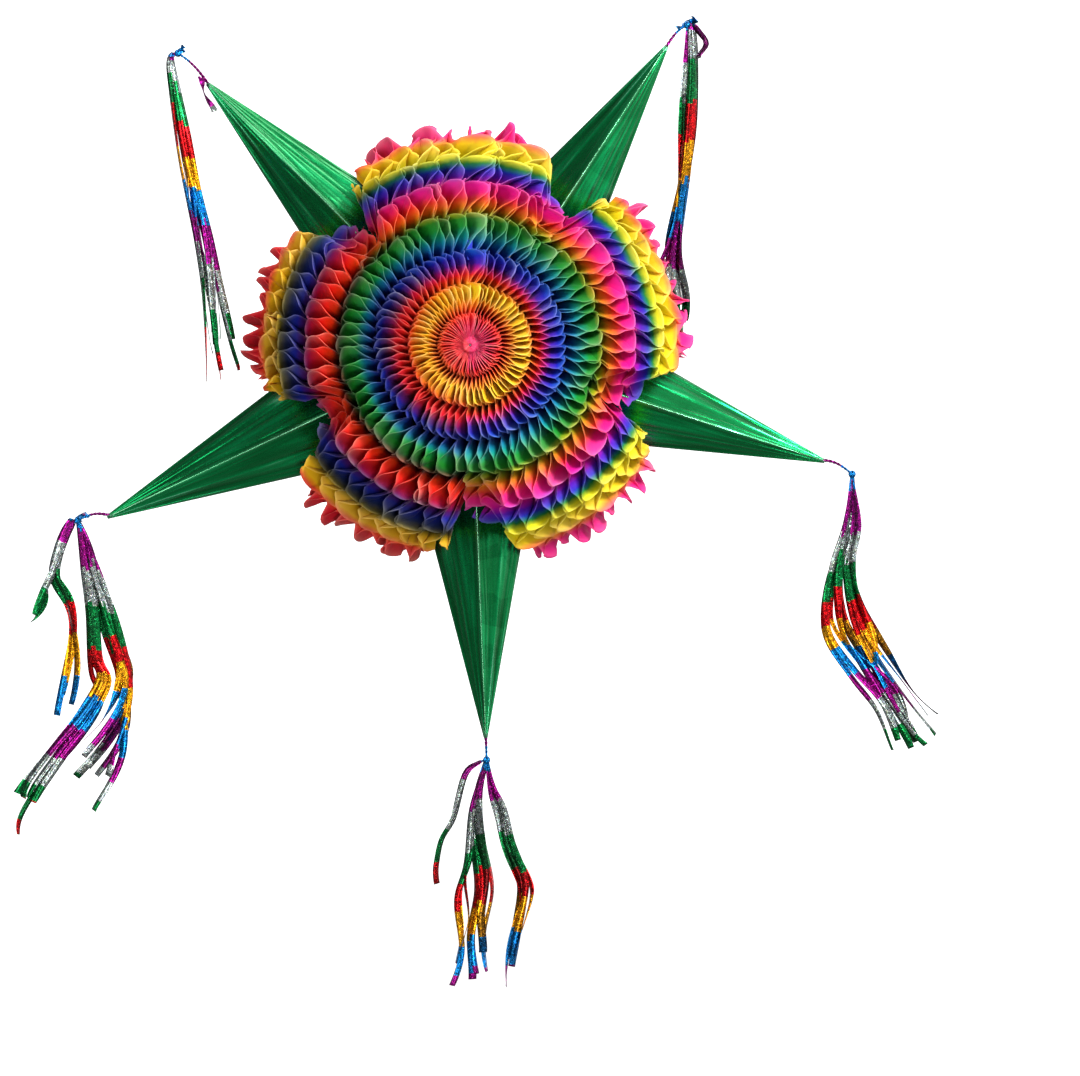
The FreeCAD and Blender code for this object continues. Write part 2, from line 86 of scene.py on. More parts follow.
# %% Measure the ball
wire_low, wire_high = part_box("front_spine_wire")
fan_low, fan_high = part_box("tissue_fan_right")
middle = Vector(((wire_low.x + wire_high.x) / 2, 0.0, (wire_low.z + wire_high.z) / 2))
BALL_REACH = fan_high.x - middle.x
BALL_DEPTH = -wire_low.y
CORE_REACH = 0.108
print("ball radius", round(BALL_REACH, 4), "half depth", round(BALL_DEPTH, 4), "middle", middle)


# %% [markdown]
# A cone's axis runs from the ball's middle to the middle of the cone's small end. The farthest few
# vertices of its mesh are that end, so their mean is the tip. The tassels' pivots are the places of
# the joints.

# %% Measure the cones and the pivots
def cone_tip(point):
    """The middle of the small end of one cone."""
    spots = [v.co for v in nodes[f"cone_{point}"].data.vertices]
    far = max((spot - middle).length for spot in spots)
    ends = [spot for spot in spots if (spot - middle).length > far - 0.002]
    return sum(ends, Vector()) / len(ends)


tips = {point: cone_tip(point) for point in ROUND}
reach = {point: (tips[point] - middle).length for point in ROUND}
bearing = {point: math.atan2(tips[point].z - middle.z, tips[point].x) for point in ROUND}
swings = [joint for joint in frame["joints"] if "swing" in joint["name"]]
pivots = {joint["child"].removeprefix("knot_"): Vector(joint["pos_m"]) for joint in swings}
root_low, root_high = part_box("cone_bottom")
CONE_SLOPE = (root_high.x - root_low.x) / 2 / (reach["bottom"] - CORE_REACH)
for point in ROUND:
    print(point, "reach", round(reach[point], 4), "bearing", round(math.degrees(bearing[point]), 1))
print("cone slope", round(CONE_SLOPE, 4))

# %% [markdown]
# ## Camera, backdrop and light
#
# The camera looks level along +Y with a long lens from about three metres, as a person would look
# at a hanging decoration. It stands before the ball's middle, and the frame is shifted to take in
# the tassels. The backdrop is one plain white sheet that curves from the floor up into the wall, far
# enough off to walk round the object. It glows: plain white to the camera, while to the object its
# wall glows and its floor is painted dark as painted shade, so the undersides of the foil stay dark.
# The light is soft: a large lamp at the upper right, a weaker one at the left and a low one in
# front, so that each petal has a bright side and a dark one.

# %% Camera
VIEW_WIDTH = 1.134
VIEW_MIDDLE = Vector((0.0735, 0.0, -0.4215))
CAMERA_RISE = 0.136
LENS_MM = 95
SENSOR_MM = 36

scene = bpy.context.scene
camera_data = bpy.data.cameras.new("camera")
camera_data.lens = LENS_MM
camera_data.sensor_width = SENSOR_MM
camera_data.shift_x = VIEW_MIDDLE.x / VIEW_WIDTH
camera_data.shift_y = -CAMERA_RISE / VIEW_WIDTH
camera = bpy.data.objects.new("camera", camera_data)
distance = VIEW_WIDTH * LENS_MM / SENSOR_MM
camera.location = (0, -distance, VIEW_MIDDLE.z + CAMERA_RISE)
camera.rotation_euler = (math.pi / 2, 0, 0)
scene.collection.objects.link(camera)
scene.camera = camera
scene.view_settings.view_transform = "Standard"
print("camera stands", round(distance, 2), "m in front")


# %% Backdrop
def link_object(name, bm):
    """Make a smooth-shaded mesh object of a bmesh, at the origin."""
    for face in bm.faces:
        face.smooth = True
    mesh = bpy.data.meshes.new(name)
    bm.to_mesh(mesh)
    bm.free()
    thing = bpy.data.objects.new(name, mesh)
    scene.collection.objects.link(thing)
    return thing


SHEET_HALF = 6
FLOOR_DROP = 1.1
BEND_RADIUS = 0.8
WALL_HEIGHT = 5
floor_level = cad_box[0].z - FLOOR_DROP


def backdrop():
    """A wide sheet that runs from the floor up into the wall in one bend."""
    bm = bmesh.new()
    start = bm.verts.new((-SHEET_HALF, -SHEET_HALF, floor_level))
    end = bm.verts.new((-SHEET_HALF, SHEET_HALF, floor_level))
    bm.edges.new((start, end))
    centre = end.co + Vector((0, 0, BEND_RADIUS))
    swept = bmesh.ops.spin(
        bm, geom=[end], cent=centre, axis=(1, 0, 0), angle=math.pi / 2, steps=16, use_merge=False
    )
    last = next(g for g in swept["geom_last"] if isinstance(g, bmesh.types.BMVert))
    top = bm.verts.new(last.co + Vector((0, 0, WALL_HEIGHT)))
    bm.edges.new((last, top))
    sides = bmesh.ops.extrude_edge_only(bm, edges=bm.edges[:])
    moved = [g for g in sides["geom"] if isinstance(g, bmesh.types.BMVert)]
    bmesh.ops.translate(bm, verts=moved, vec=(2 * SHEET_HALF, 0, 0))
    bmesh.ops.recalc_face_normals(bm, faces=bm.faces)
    return link_object("backdrop", bm)


sheet = backdrop()


# %% Lamps
def lamp(name, place, size, power):
    """A square soft lamp that faces the ball."""
    data = bpy.data.lights.new(name, "AREA")
    data.shape = "SQUARE"
    data.size = size
    data.energy = power
    thing = bpy.data.objects.new(name, data)
    thing.location = place
    thing.rotation_euler = (middle - Vector(place)).to_track_quat("-Z", "Y").to_euler()
    scene.collection.objects.link(thing)


lamp("key", (1.6, -2.2, 1.5), 1.1, 175)
lamp("left", (-2.2, -1.8, 0.3), 1.6, 48)
lamp("low", (0.3, -2.6, -1.7), 1.0, 36)
lamp("back", (0.3, 1.3, 1.6), 1.6, 34)
world = bpy.data.worlds.new("studio")
world.use_nodes = True
scene.world = world


# %% [markdown]
# ## Building materials from nodes
#
# A material is a small graph. These helpers add a node, set the sockets given by name and link a
# socket wherever the value is itself a socket. A value that is the same all over the surface is set
# on the shader's own socket.

# %% Node helpers
def srgb(code):
    """A colour written as six hexadecimal digits, made linear."""
    shares = [int(code[i : i + 2], 16) / 255 for i in (0, 2, 4)]
    return tuple(s / 12.92 if s <= 0.04045 else ((s + 0.055) / 1.055) ** 2.4 for s in shares)


def grey(level):
    """A neutral colour, or a plain value for a ramp."""
    return (level, level, level)


def socket(sockets, name):
    """The enabled socket of that name, or of that number."""
    if isinstance(name, int):
        return sockets[name]
    return next(s for s in sockets if s.name == name and s.enabled)


def feed(tree, value, target):
    """Link a socket to another one, or set it to a plain value."""
    if isinstance(value, bpy.types.NodeSocket):
        tree.links.new(value, target)
    else:
        target.default_value = value


def node(tree, kind, settings=None, **values):
    """Add a node, set its properties, and set or link its inputs."""
    made = tree.nodes.new("ShaderNode" + kind)
    for name, value in (settings or {}).items():
        setattr(made, name, value)
    for name, value in values.items():
        label = int(name[1:]) if name[1:].isdigit() else name.replace("_", " ")
        feed(tree, value, socket(made.inputs, label))
    return made


def ramp(tree, value, stops, interpolation="LINEAR"):
    """A colour ramp whose stops are (place, colour)."""
    made = node(tree, "ValToRGB", Fac=value)
    band = made.color_ramp
    band.interpolation = interpolation
    while len(band.elements) > 1:
        band.elements.remove(band.elements[-1])
    band.elements[0].position = stops[0][0]
    band.elements[0].color = (*stops[0][1], 1)
    for place, colour in stops[1:]:
        band.elements.new(place).color = (*colour, 1)
    return made.outputs["Color"]


def attribute(tree, name):
    """The value that a mesh attribute holds at each vertex."""
    return node(tree, "Attribute", {"attribute_name": name}).outputs["Fac"]


def object_place(tree):
    """The place on the piece in metres."""
    return node(tree, "TexCoord").outputs["Object"]


def blend(tree, share, first, second, kind="MIX"):
    """Mix two colours."""
    made = node(tree, "Mix", {"data_type": "RGBA", "blend_type": kind}, _0=share, _6=first, _7=second)
    return made.outputs[2]


def calculate(tree, operation, first, second=0.0, clamp=False):
    """One step of arithmetic."""
    made = node(tree, "Math", {"operation": operation, "use_clamp": clamp}, _0=first, _1=second)
    return made.outputs[0]


def plus(tree, base, value, share):
    """A base with a share of another value added."""
    return calculate(tree, "ADD", base, calculate(tree, "MULTIPLY", value, share))


def new_material(name):
    """A material with its Principled shader."""
    made = bpy.data.materials.new(name)
    made.use_nodes = True
    tree = made.node_tree
    return made, tree, tree.nodes["Principled BSDF"]


def surface(tree, shader, colour, rough, height, strength, depth):
    """Give a shader its colour, its roughness and a relief, and return the relief's normal."""
    feed(tree, colour, shader.inputs["Base Color"])
    feed(tree, rough, shader.inputs["Roughness"])
    normal = node(tree, "Bump", Height=height, Strength=strength, Distance=depth).outputs["Normal"]
    feed(tree, normal, shader.inputs["Normal"])
    return normal


# %% [markdown]
# Foil shows what stands round it, so the studio itself is darker at the left and lighter at the
# right, as beside a window. Both flanks of a cone then differ, though the light stays soft.

# %% Studio round the object
def studio_gradient():
    """Light that grows from left to right all round."""
    tree = world.node_tree
    direction = node(tree, "TexCoord").outputs["Generated"]
    axes = node(tree, "SeparateXYZ", Vector=direction)
    level = calculate(tree, "ADD", calculate(tree, "MULTIPLY", axes.outputs["X"], 0.5), 0.5)
    levels = [(0.0, (0.1, 0.11, 0.12)), (0.45, (0.26, 0.28, 0.3)), (0.8, (1.1, 1.14, 1.16))]
    light = ramp(tree, level, levels)
    plain = blend(tree, node(tree, "LightPath").outputs["Is Camera Ray"], light, (*grey(1.16), 1))
    tree.links.new(plain, tree.nodes["Background"].inputs["Color"])
    tree.nodes["Background"].inputs["Strength"].default_value = 1.0


def backdrop_paper():
    """Matt paper that glows: plain white to the eye, and to the object a glow from its wall and painted shade,
    dark, on its floor.
    """
    made, tree, shader = new_material("backdrop_paper")
    height = node(tree, "SeparateXYZ", Vector=object_place(tree)).outputs["Z"]
    share = calculate(tree, "DIVIDE", calculate(tree, "SUBTRACT", height, floor_level), FLOOR_DROP)
    # painted shade: colour and glow run from dark at the floor to light up the wall
    light = ramp(tree, share, [(0.03, grey(0.1)), (0.4, grey(0.9))])
    tree.links.new(light, shader.inputs["Base Color"])
    seen = node(tree, "LightPath").outputs["Is Camera Ray"]
    # the sheet glows: white to the camera, elsewhere with the painted shade above
    tree.links.new(blend(tree, seen, light, (1, 1, 1, 1)), shader.inputs["Emission Color"])
    shader.inputs["Emission Strength"].default_value = 1.0
    shader.inputs["Roughness"].default_value = 0.9
    return made


studio_gradient()
sheet.data.materials.append(backdrop_paper())
print("studio: darker at the left, lighter at the right")

# %% [markdown]
# ### Effects that several finishes share
#
# Foil and tissue both crumple, and card, rope, foil, tissue and metal all show fine streaks. Each
# effect is one node group with named inputs, placed in each material with its own values.

# %% Group helper
def group(name, inputs, outputs):
    """A shader node group with float inputs and typed outputs."""
    tree = bpy.data.node_groups.new(name, "ShaderNodeTree")
    tree.interface.new_socket("Place", in_out="INPUT", socket_type="NodeSocketVector")
    for label, value in inputs.items():
        made = tree.interface.new_socket(label, in_out="INPUT", socket_type="NodeSocketFloat")
        made.default_value = value
    for label, kind in outputs.items():
        tree.interface.new_socket(label, in_out="OUTPUT", socket_type=f"NodeSocket{kind}")
    start = tree.nodes.new("NodeGroupInput")
    end = tree.nodes.new("NodeGroupOutput")
    return tree, start.outputs, end.inputs


def use(tree, shared, place, **values):
    """Place a group in a material."""
    made = tree.nodes.new("ShaderNodeGroup")
    made.node_tree = shared
    tree.links.new(place, made.inputs["Place"])
    for name, value in values.items():
        made.inputs[name].default_value = value
    return made.outputs


# %% Crumple: flat facets that meet in sharp creases, with softer waves over them
crumple, into, out = group("crumple", {"Scale": 40.0, "Waves": 0.5}, {"Height": "Float"})
edges = {"feature": "DISTANCE_TO_EDGE"}
cells = node(crumple, "TexVoronoi", edges, Vector=into["Place"], Scale=into["Scale"])
wave_scale = calculate(crumple, "MULTIPLY", into["Scale"], 0.35)
waves = node(crumple, "TexNoise", Vector=into["Place"], Scale=wave_scale, Detail=4.0, Distortion=0.8)
soft = calculate(crumple, "MULTIPLY", waves.outputs["Fac"], into["Waves"])
height = calculate(crumple, "ADD", cells.outputs["Distance"], soft)
crumple.links.new(height, out["Height"])

# %% Fibres: long thin streaks laid every way, as in paper, card and twisted yarn
fibres, into, out = group("fibres", {"Scale": 300.0}, {"Height": "Float", "Shade": "Float"})
pulp = node(fibres, "TexNoise", Vector=into["Place"], Scale=into["Scale"], Detail=6.0, Roughness=0.7)
threads = node(fibres, "TexWave", Vector=into["Place"], Scale=into["Scale"], Distortion=14.0, Detail=3.0)
mixed = calculate(fibres, "MULTIPLY", pulp.outputs["Fac"], threads.outputs["Fac"])
fibres.links.new(mixed, out["Height"])
fibres.links.new(pulp.outputs["Fac"], out["Shade"])

# %% Sparkle: tiny flakes of foil, each turned its own way
outputs = {"Flake": "Float", "Tint": "Color", "Height": "Float"}
sparkle, into, out = group("sparkle", {"Scale": 900.0}, outputs)
flakes = node(sparkle, "TexVoronoi", Vector=into["Place"], Scale=into["Scale"])
shade = node(sparkle, "SeparateColor", Color=flakes.outputs["Color"])
sparkle.links.new(shade.outputs[0], out["Flake"])
sparkle.links.new(flakes.outputs["Color"], out["Tint"])
sparkle.links.new(shade.outputs[1], out["Height"])
print("shared effects:", [g.name for g in bpy.data.node_groups])

# %% [markdown]
# ## The rope
#
# The pinata comes with about three metres of thin white cotton cord. One end is knotted behind the
# cover boards. The cord passes over the shoulder of the ball and is tied up behind it in a hank: a
# dozen long loops with three turns round their waist. It is one NURBS spline, because a smooth
# curve through a few control points is how a limp cord lies. The loops and turns are worked out as
# more points of that same spline.

# %% The rope's way
ROPE_ROUTE = [
    (-0.0016, 0.017, -0.008),
    (0.010, 0.017, -0.008),
    (0.021, 0.025, -0.003),
    (0.025, 0.040, 0.000),
    (0.021, 0.058, -0.006),
    (0.013, 0.077, -0.020),
    (0.006, 0.095, -0.040),
    (0.001, 0.113, -0.066),
    (-0.002, 0.130, -0.096),
    (0.000, 0.146, -0.122),
    (0.000, 0.157, -0.1495),
]
ROPE_DIAMETER = 0.003
HANK_LOOPS = 10
HANK_WRAPS = 3

hank_low, hank_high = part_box("rope_hank")
hank_middle = (hank_low + hank_high) / 2
hank_half = (hank_high - hank_low) / 2


def hank_points():
    """Long loops that cross at the waist, then turns that tie it."""
    rng = random.Random(5)
    points = []
    steps = 14
    for loop in range(HANK_LOOPS):
        layer = 2 * math.pi * loop / HANK_LOOPS
        long_half = hank_half.x * rng.uniform(0.84, 0.965)
        high_half = hank_half.z * rng.uniform(0.62, 0.86)
        for step in range(steps):
            turn = math.pi / 2 + 2 * math.pi * step / steps
            across = math.cos(turn)
            # the loop is pinched at its waist: its height falls where it passes the middle
            pinch = 0.34 + 0.66 * abs(across) ** 0.8
            up = math.sin(turn) * high_half * pinch
            depth = hank_half.y * 0.62 * math.cos(layer + 0.7 * across) * (0.55 + 0.45 * abs(across))
            points.append(hank_middle + Vector((long_half * across, depth, up)))
    return points


def wrap_points():
    """Turns round the waist, from one side to the other, and a free end tucked along the loops."""
    points = []
    steps = 12
    for step in range(HANK_WRAPS * steps + 1):
        turn = math.pi / 2 + 2 * math.pi * step / steps
        along = (step / (HANK_WRAPS * steps) - 0.5) * ROPE_DIAMETER * 3.4
        points.append(
            hank_middle + Vector((along, math.cos(turn) * 0.0083, math.sin(turn) * 0.0085))
        )
    tuck = points[-1]
    for share in (0.25, 0.5, 0.75, 1.0):
        points.append(tuck + Vector((0.04 * share, -0.003 * share, 0.002 * share - 0.004 * share**2)))
    return points


def rope_line():
    """One open NURBS spline through the whole way of the rope."""
    points = [Vector(p) for p in ROPE_ROUTE] + hank_points() + wrap_points()
    data = bpy.data.curves.new("rope_line", "CURVE")
    data.dimensions = "3D"
    data.resolution_u = 6
    spline = data.splines.new("NURBS")
    spline.points.add(len(points) - 1)
    for spot, place in zip(spline.points, points):
        spot.co = (*place, 1)
    spline.order_u = 3
    spline.use_endpoint_u = True
    return data


def points_on(data):
    """The points that a curve with no bevel passes through."""
    line = bpy.data.objects.new("rope_line", data)
    scene.collection.objects.link(line)
    bpy.context.view_layer.update()
    mesh = bpy.data.meshes.new_from_object(line)
    points = [v.co.copy() for v in mesh.vertices]
    bpy.data.objects.remove(line)
    bpy.data.meshes.remove(mesh)
    return points


rope_path = points_on(rope_line())


# %% [markdown]
# Three plies twist round that line. Their section is a soft trefoil that turns as it goes, so the
# grooves between the plies are real and catch the light. The section is extruded from each point of
# the line to the next with bridged rings.

# %% Sweep a section along a line
def frames_along(points):
    """A steady pair of sideways directions at each point of a line."""
    ahead = (points[1] - points[0]).normalized()
    side = ahead.orthogonal().normalized()
    made = []
    for number, point in enumerate(points):
        before = points[max(number - 1, 0)]
        after = points[min(number + 1, len(points) - 1)]
        way = (after - before).normalized()
        side = (side - way * side.dot(way)).normalized()
        made.append((point, side, way.cross(side)))
    return made


def sweep(bm, frames, section):
    """Bridge copies of a section, which gives (right, up) places for a distance along the line."""
    travelled = 0.0
    previous = None
    ring_before = None
    for number, (point, side, up) in enumerate(frames):
        if previous is not None:
            travelled += (point - previous).length
        previous = point
        ring = [bm.verts.new(point + side * a + up * b) for a, b in section(travelled)]
        if ring_before:
            for i in range(len(ring)):
                corner = ring_before[i], ring[i], ring[i - 1], ring_before[i - 1]
                bm.faces.new(corner)
        else:
            bm.faces.new(ring)
        ring_before = ring
    bm.faces.new(ring_before[::-1])


def laid_rope(travelled):
    """A three-lobed section that turns once in four diameters."""
    turn = 2 * math.pi * travelled / (ROPE_DIAMETER * 4)
    corners = 12
    places = []
    for i in range(corners):
        angle = 2 * math.pi * i / corners
        radius = ROPE_DIAMETER / 2 * (0.93 + 0.1 * math.cos(3 * angle))
        places.append((radius * math.cos(angle + turn), radius * math.sin(angle + turn)))
    return places


def evenly(points, gap):
    """The same line with a point every gap."""
    made = [points[0]]
    rest = gap
    for a, b in zip(points, points[1:]):
        length = (b - a).length
        while rest <= length:
            made.append(a.lerp(b, rest / length))
            rest += gap
        rest -= length
    return made


rope_mesh = bmesh.new()
sweep(rope_mesh, frames_along(evenly(rope_path, 0.0016)), laid_rope)
bmesh.ops.recalc_face_normals(rope_mesh, faces=rope_mesh.faces)
rope = link_object("hanging_rope", rope_mesh)
print("rope faces:", len(rope.data.polygons))


# %% Finish of the rope
def rope_finish():
    """White cotton: soft, slightly yellow, a little grey where it has been handled."""
    made, tree, shader = new_material("cotton_rope")
    place = object_place(tree)
    yarn = use(tree, fibres, place, Scale=1400.0)
    wear = node(tree, "TexNoise", Vector=place, Scale=35.0, Detail=3.0)
    cotton = [(0.3, srgb("f4f0e4")), (0.55, srgb("e9e3d2")), (0.8, srgb("d6cfbd"))]
    threads = ramp(tree, yarn["Shade"], [(0.2, srgb("b9b2a2")), (0.8, srgb("fffdf6"))])
    shaded = blend(tree, 0.35, ramp(tree, wear.outputs["Fac"], cotton), threads, "MULTIPLY")
    surface(tree, shader, shaded, 0.75, yarn["Height"], 0.5, 0.0004)
    shader.inputs["Sheen Weight"].default_value = 0.35
    return made


rope.data.materials.append(rope_finish())
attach(rope, "star")
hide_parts("rope_tail", "rope_hank")

# %% [markdown]
# ## The honeycomb tissue
#
# Each page is a half disc of tissue paper with a scalloped rim, and its plane holds the spine. Glue
# joins each page to its left neighbour at the tips of the scallops and to its right neighbour in
# the hollows between them. As the fan opens, the pages bend apart into cells, and seen from the
# front each pair of tips is one petal.
#
# The cells come from one rule, so a formula moves the points of a plain grid. One direction of the
# grid follows the rim from the front pole to the rear, the other goes inwards. Where a cone stands
# between two fans, the pages are pressed together beside it, which makes the lobes of the outline.

# %% The rim
RING_REACH = [16, 46, 75, 112, 147, 178, 203, 219]
PETAL_RISE = [0.3, 0.42, 0.42, 0.42, 0.42, 0.42, 0.36, 0.25, 0.3]
PETAL_PITCH = math.radians(6.5)
PETAL_LEAN = 1.6
PAGE_LEAN = 0.5
INNER_LEAN = 0.9
BOARD_LAP = 0.9
RIM_REACH = BALL_REACH + 0.014
RIM_DEPTH = BALL_DEPTH
RING_ANGLES = [0.0] + [math.asin(r / RING_REACH[-1]) for r in RING_REACH]
RING_COUNT = len(RING_REACH)
COLUMNS_PER_RING = 16
INWARD = [0.0, 0.03, 0.08, 0.16, 0.30, 0.55, 1.0]
POLE_START = 0.02
HOLLOW_DEPTH = 0.17
HOLLOW_WIDTH = 0.135
EDGE_ON_FROM = 1.0
EDGE_ON_OVER = 0.4
EDGE_SPLAY = 2.2
EDGE_TWIST = 2.8
FRONT_TWIST = 0.4
WAVER = 0.12
PAGE_DEPTH = 0.052
PAGE_DEPTH_MORE = 0.036


def smooth(share):
    """A smooth step from 0 to 1."""
    share = min(max(share, 0.0), 1.0)
    return share * share * (3 - 2 * share)


def rim_angle(phase):
    """The angle from the front pole at a count of rings, where the rear half mirrors the front."""
    if phase > RING_COUNT:
        return math.pi - rim_angle(2 * RING_COUNT - phase)
    ring = min(int(phase), RING_COUNT - 1)
    low, high = RING_ANGLES[ring], RING_ANGLES[ring + 1]
    return low + (high - low) * (phase - ring)


def cone_half(point, distance):
    """Half the width of one cone, at a distance from the ball's middle."""
    return (reach[point] - distance) * CONE_SLOPE


def pressed(neighbour, distance, depth, inward):
    """The angle that a neighbour, a cone or the boards, keeps free of pages."""
    distance = max(distance, 0.01)
    if neighbour is None:
        return math.asin(0.0022 / distance) * smooth(inward / 0.12)
    open_half = max(0.0, cone_half(neighbour, distance) + 0.002 - 0.85 * abs(depth))
    return math.asin(min(1.0, open_half / distance)) * smooth((distance - 0.13) / 0.045)


print("rings end at", [round(math.degrees(a), 1) for a in RING_ANGLES[1:]], "degrees from the pole")


# %% [markdown]
# A page's point depends on how far round the rim it is, how deep it lies and which page it is on.
# The two pages of a petal share random numbers from a seeded source, so that they bend together and
# stay glued. A ball of loose tissue never opens evenly: every petal leans over the cell beside it,
# all of them the same way round, and so the surface looks closed like feathers.

# %% A fan of pages
class Fan:
    """A pad of pages between two neighbours, each a cone or the cover boards."""

    def __init__(self, name, first, last, first_cone, last_cone):
        self.name = name
        self.first, self.last = first, last
        self.cones = first_cone, last_cone
        self.pages = 2 * max(2, round((last - first) / PETAL_PITCH))
        rng = random.Random(name)
        petals = self.pages // 2 + 1
        crests = 2 * RING_COUNT + 1
        self.lean = [[rng.gauss(1, 0.22) for _ in range(crests)] for _ in range(petals)]
        self.size = [[rng.gauss(1, 0.14) for _ in range(crests)] for _ in range(petals)]
        self.twist = [[rng.gauss(0.9, 0.5) for _ in range(crests)] for _ in range(petals)]
        # painted highlight: how pale each petal's tip is painted
        self.pale = [[rng.random() ** 2.5 for _ in range(crests)] for _ in range(petals)]
        self.stray = [rng.gauss(0, 0.07) for _ in range(self.pages)]
        self.wander = [rng.uniform(0, 2 * math.pi) for _ in range(self.pages)]

    def index(self, page, phase, inward, lobe, edge_on):
        """Where a point lies among the pages: whole numbers are where bonded pages meet."""
        crest = round(phase)
        pair = page // 2
        side = 1 if page % 2 == 0 else -1
        sharp = 1.6 + 4.0 * edge_on
        weave = math.tanh(sharp * math.cos(2 * math.pi * phase)) / math.tanh(sharp)
        free = (1 - inward) ** 3
        own = self.lean[pair][crest]
        from_pole = min(phase, 2 * RING_COUNT - phase)
        leaning = PETAL_LEAN * own * lobe * (1 - smooth(inward * 3.5)) * (1 - 0.8 * edge_on)
        leaning += PAGE_LEAN * free + INNER_LEAN * free * smooth((4 - from_pole) / 3)
        splay = (own - 1) * EDGE_SPLAY * edge_on * lobe * free
        flap = 1 - smooth((abs(phase - crest) - 0.2) / 0.25)
        turning = FRONT_TWIST * lobe * (1 - edge_on) + EDGE_TWIST * flap * edge_on
        twisting = self.twist[pair][crest] * (phase - crest) * turning * free
        if self.cones[0] is None and pair == 0:
            leaning += BOARD_LAP * (0.4 + lobe) * free
        waver = WAVER * math.sin(self.wander[page] + 2.1 * phase)
        bent = 0.5 * side * weave - leaning + splay + twisting + waver
        return page + 0.5 + self.stray[page] + bent

    def hollow(self, turn, distance):
        """How much the ball is drawn in beside a cone, as a share."""
        ends = [end for end, cone in zip((self.first, self.last), self.cones) if cone]
        nearest = min(abs(turn - end) for end in ends)
        beside = math.exp(-((nearest / HOLLOW_WIDTH) ** 4))
        return 1 - HOLLOW_DEPTH * beside * smooth((distance - 0.11) / 0.07)

    def point(self, page, phase, inward):
        """The place of one point, its distance from the spine, its bearing and its share of painted highlight at
        the petal's tip.
        """
        crest = round(phase)
        offset = phase - crest
        angle = rim_angle(phase)
        edge_on = smooth((angle - EDGE_ON_FROM) / EDGE_ON_OVER)
        edge_on *= smooth((math.pi - angle - EDGE_ON_FROM) / EDGE_ON_OVER)
        narrowed = min(abs(offset) * (1 + edge_on), 0.5)
        lobe = math.cos(math.pi * narrowed) ** (0.6 - 0.28 * edge_on)
        outer = math.sin(angle)
        normal = Vector((RIM_DEPTH * outer, -RIM_REACH * math.cos(angle))).normalized()
        outwards = Vector((-normal.y, normal.x)) * (1 if angle < math.pi / 2 else -1)
        spacing = rim_angle(min(phase + 0.5, 2 * RING_COUNT)) - rim_angle(max(phase - 0.5, 0))
        arc = spacing * math.hypot(RIM_REACH * math.cos(angle), RIM_DEPTH * outer)
        uneven = (self.size[page // 2][crest] - 1) * (1 + 2 * edge_on)
        size = min(max(1 + uneven, 0.55), 1.4)
        rise = PETAL_RISE[RING_COUNT - abs(crest - RING_COUNT)]
        stands = rise * arc * size * lobe * (1 - smooth(inward * 2.5))
        deep = (PAGE_DEPTH + PAGE_DEPTH_MORE * outer**2) * inward
        flat = Vector((RIM_REACH * outer, -RIM_DEPTH * math.cos(angle)))
        flat += normal * (stands - deep) + outwards * (0.5 * stands * (1 - edge_on))
        flat.x = max(flat.x, 0.0008)
        index = self.index(page, phase, inward, lobe, edge_on)
        share = index / self.pages
        drawn = self.hollow(self.first + (self.last - self.first) * share, flat.x)
        distance, depth = flat.x * drawn, flat.y * drawn
        hold_first = pressed(self.cones[0], distance, depth, inward)
        hold_last = pressed(self.cones[1], distance, depth, inward)
        turn = self.first + hold_first + (self.last - self.first - hold_first - hold_last) * share
        spot = middle + Vector((distance * math.cos(turn), depth, distance * math.sin(turn)))
        # painted highlight: the tips of some petals are painted paler, fading inwards from the rim
        tip_highlight = self.pale[page // 2][crest] * lobe * max(0.0, 1 - inward * 7)
        return spot, distance, turn, tip_highlight


def in_cone(spot):
    """Whether a point lies inside one of the cones."""
    away = spot - middle
    for point in ROUND:
        along = away.x * math.cos(bearing[point]) + away.z * math.sin(bearing[point])
        if CORE_REACH * 0.8 < along < reach[point]:
            across = away.z * math.cos(bearing[point]) - away.x * math.sin(bearing[point])
            if abs(across) + abs(away.y) < cone_half(point, along) - 0.0015:
                return True
    return False


# %% [markdown]
# Four numbers are kept at each point for the colour: the distance from the spine, because the stack
# was dyed in stripes along it; where round the ball the page lies, because the stripes drift; how
# near the cut rim it is, for a painted highlight along the rim and painted shade deeper in the cells;
# and how much painted highlight its petal's tip gets.

# %% Make a fan's pages
def page_grid(bm, fan, page, layers):
    """One page: a plain grid moved point by point."""
    columns = 2 * RING_COUNT * COLUMNS_PER_RING
    rows = len(INWARD) - 1
    grid = bmesh.ops.create_grid(bm, x_segments=columns, y_segments=rows, size=0.5)
    dye, drift, rim, pale = layers
    for vert in grid["verts"]:
        share = vert.co.x + 0.5
        inward = INWARD[round((vert.co.y + 0.5) * rows)]
        phase = POLE_START + share * (2 * RING_COUNT - 2 * POLE_START)
        vert.co, distance, turn, vert[pale] = fan.point(page, phase, inward)
        vert[dye] = distance / 0.25
        vert[drift] = (turn - bearing["bottom"]) / (2 * math.pi)
        vert[rim] = inward
    return grid["verts"]


def make_fan(fan):
    """All pages of a fan in one mesh, each a thin closed sheet."""
    bm = bmesh.new()
    layers = [bm.verts.layers.float.new(name) for name in ("dye", "drift", "rim", "pale")]
    for page in range(fan.pages):
        page_grid(bm, fan, page, layers)
    hidden = [v for v in bm.verts if in_cone(v.co)]
    bmesh.ops.delete(bm, geom=hidden, context="VERTS")
    thing = link_object(fan.name.replace("tissue_fan", "tissue_pages"), bm)
    thickness = thing.modifiers.new("paper", "SOLIDIFY")
    thickness.thickness = 0.0003
    thickness.offset = 0
    return thing


def turned(point, turns=0):
    """A cone's bearing in radians, counted on by whole turns."""
    return bearing[point] + 2 * math.pi * turns


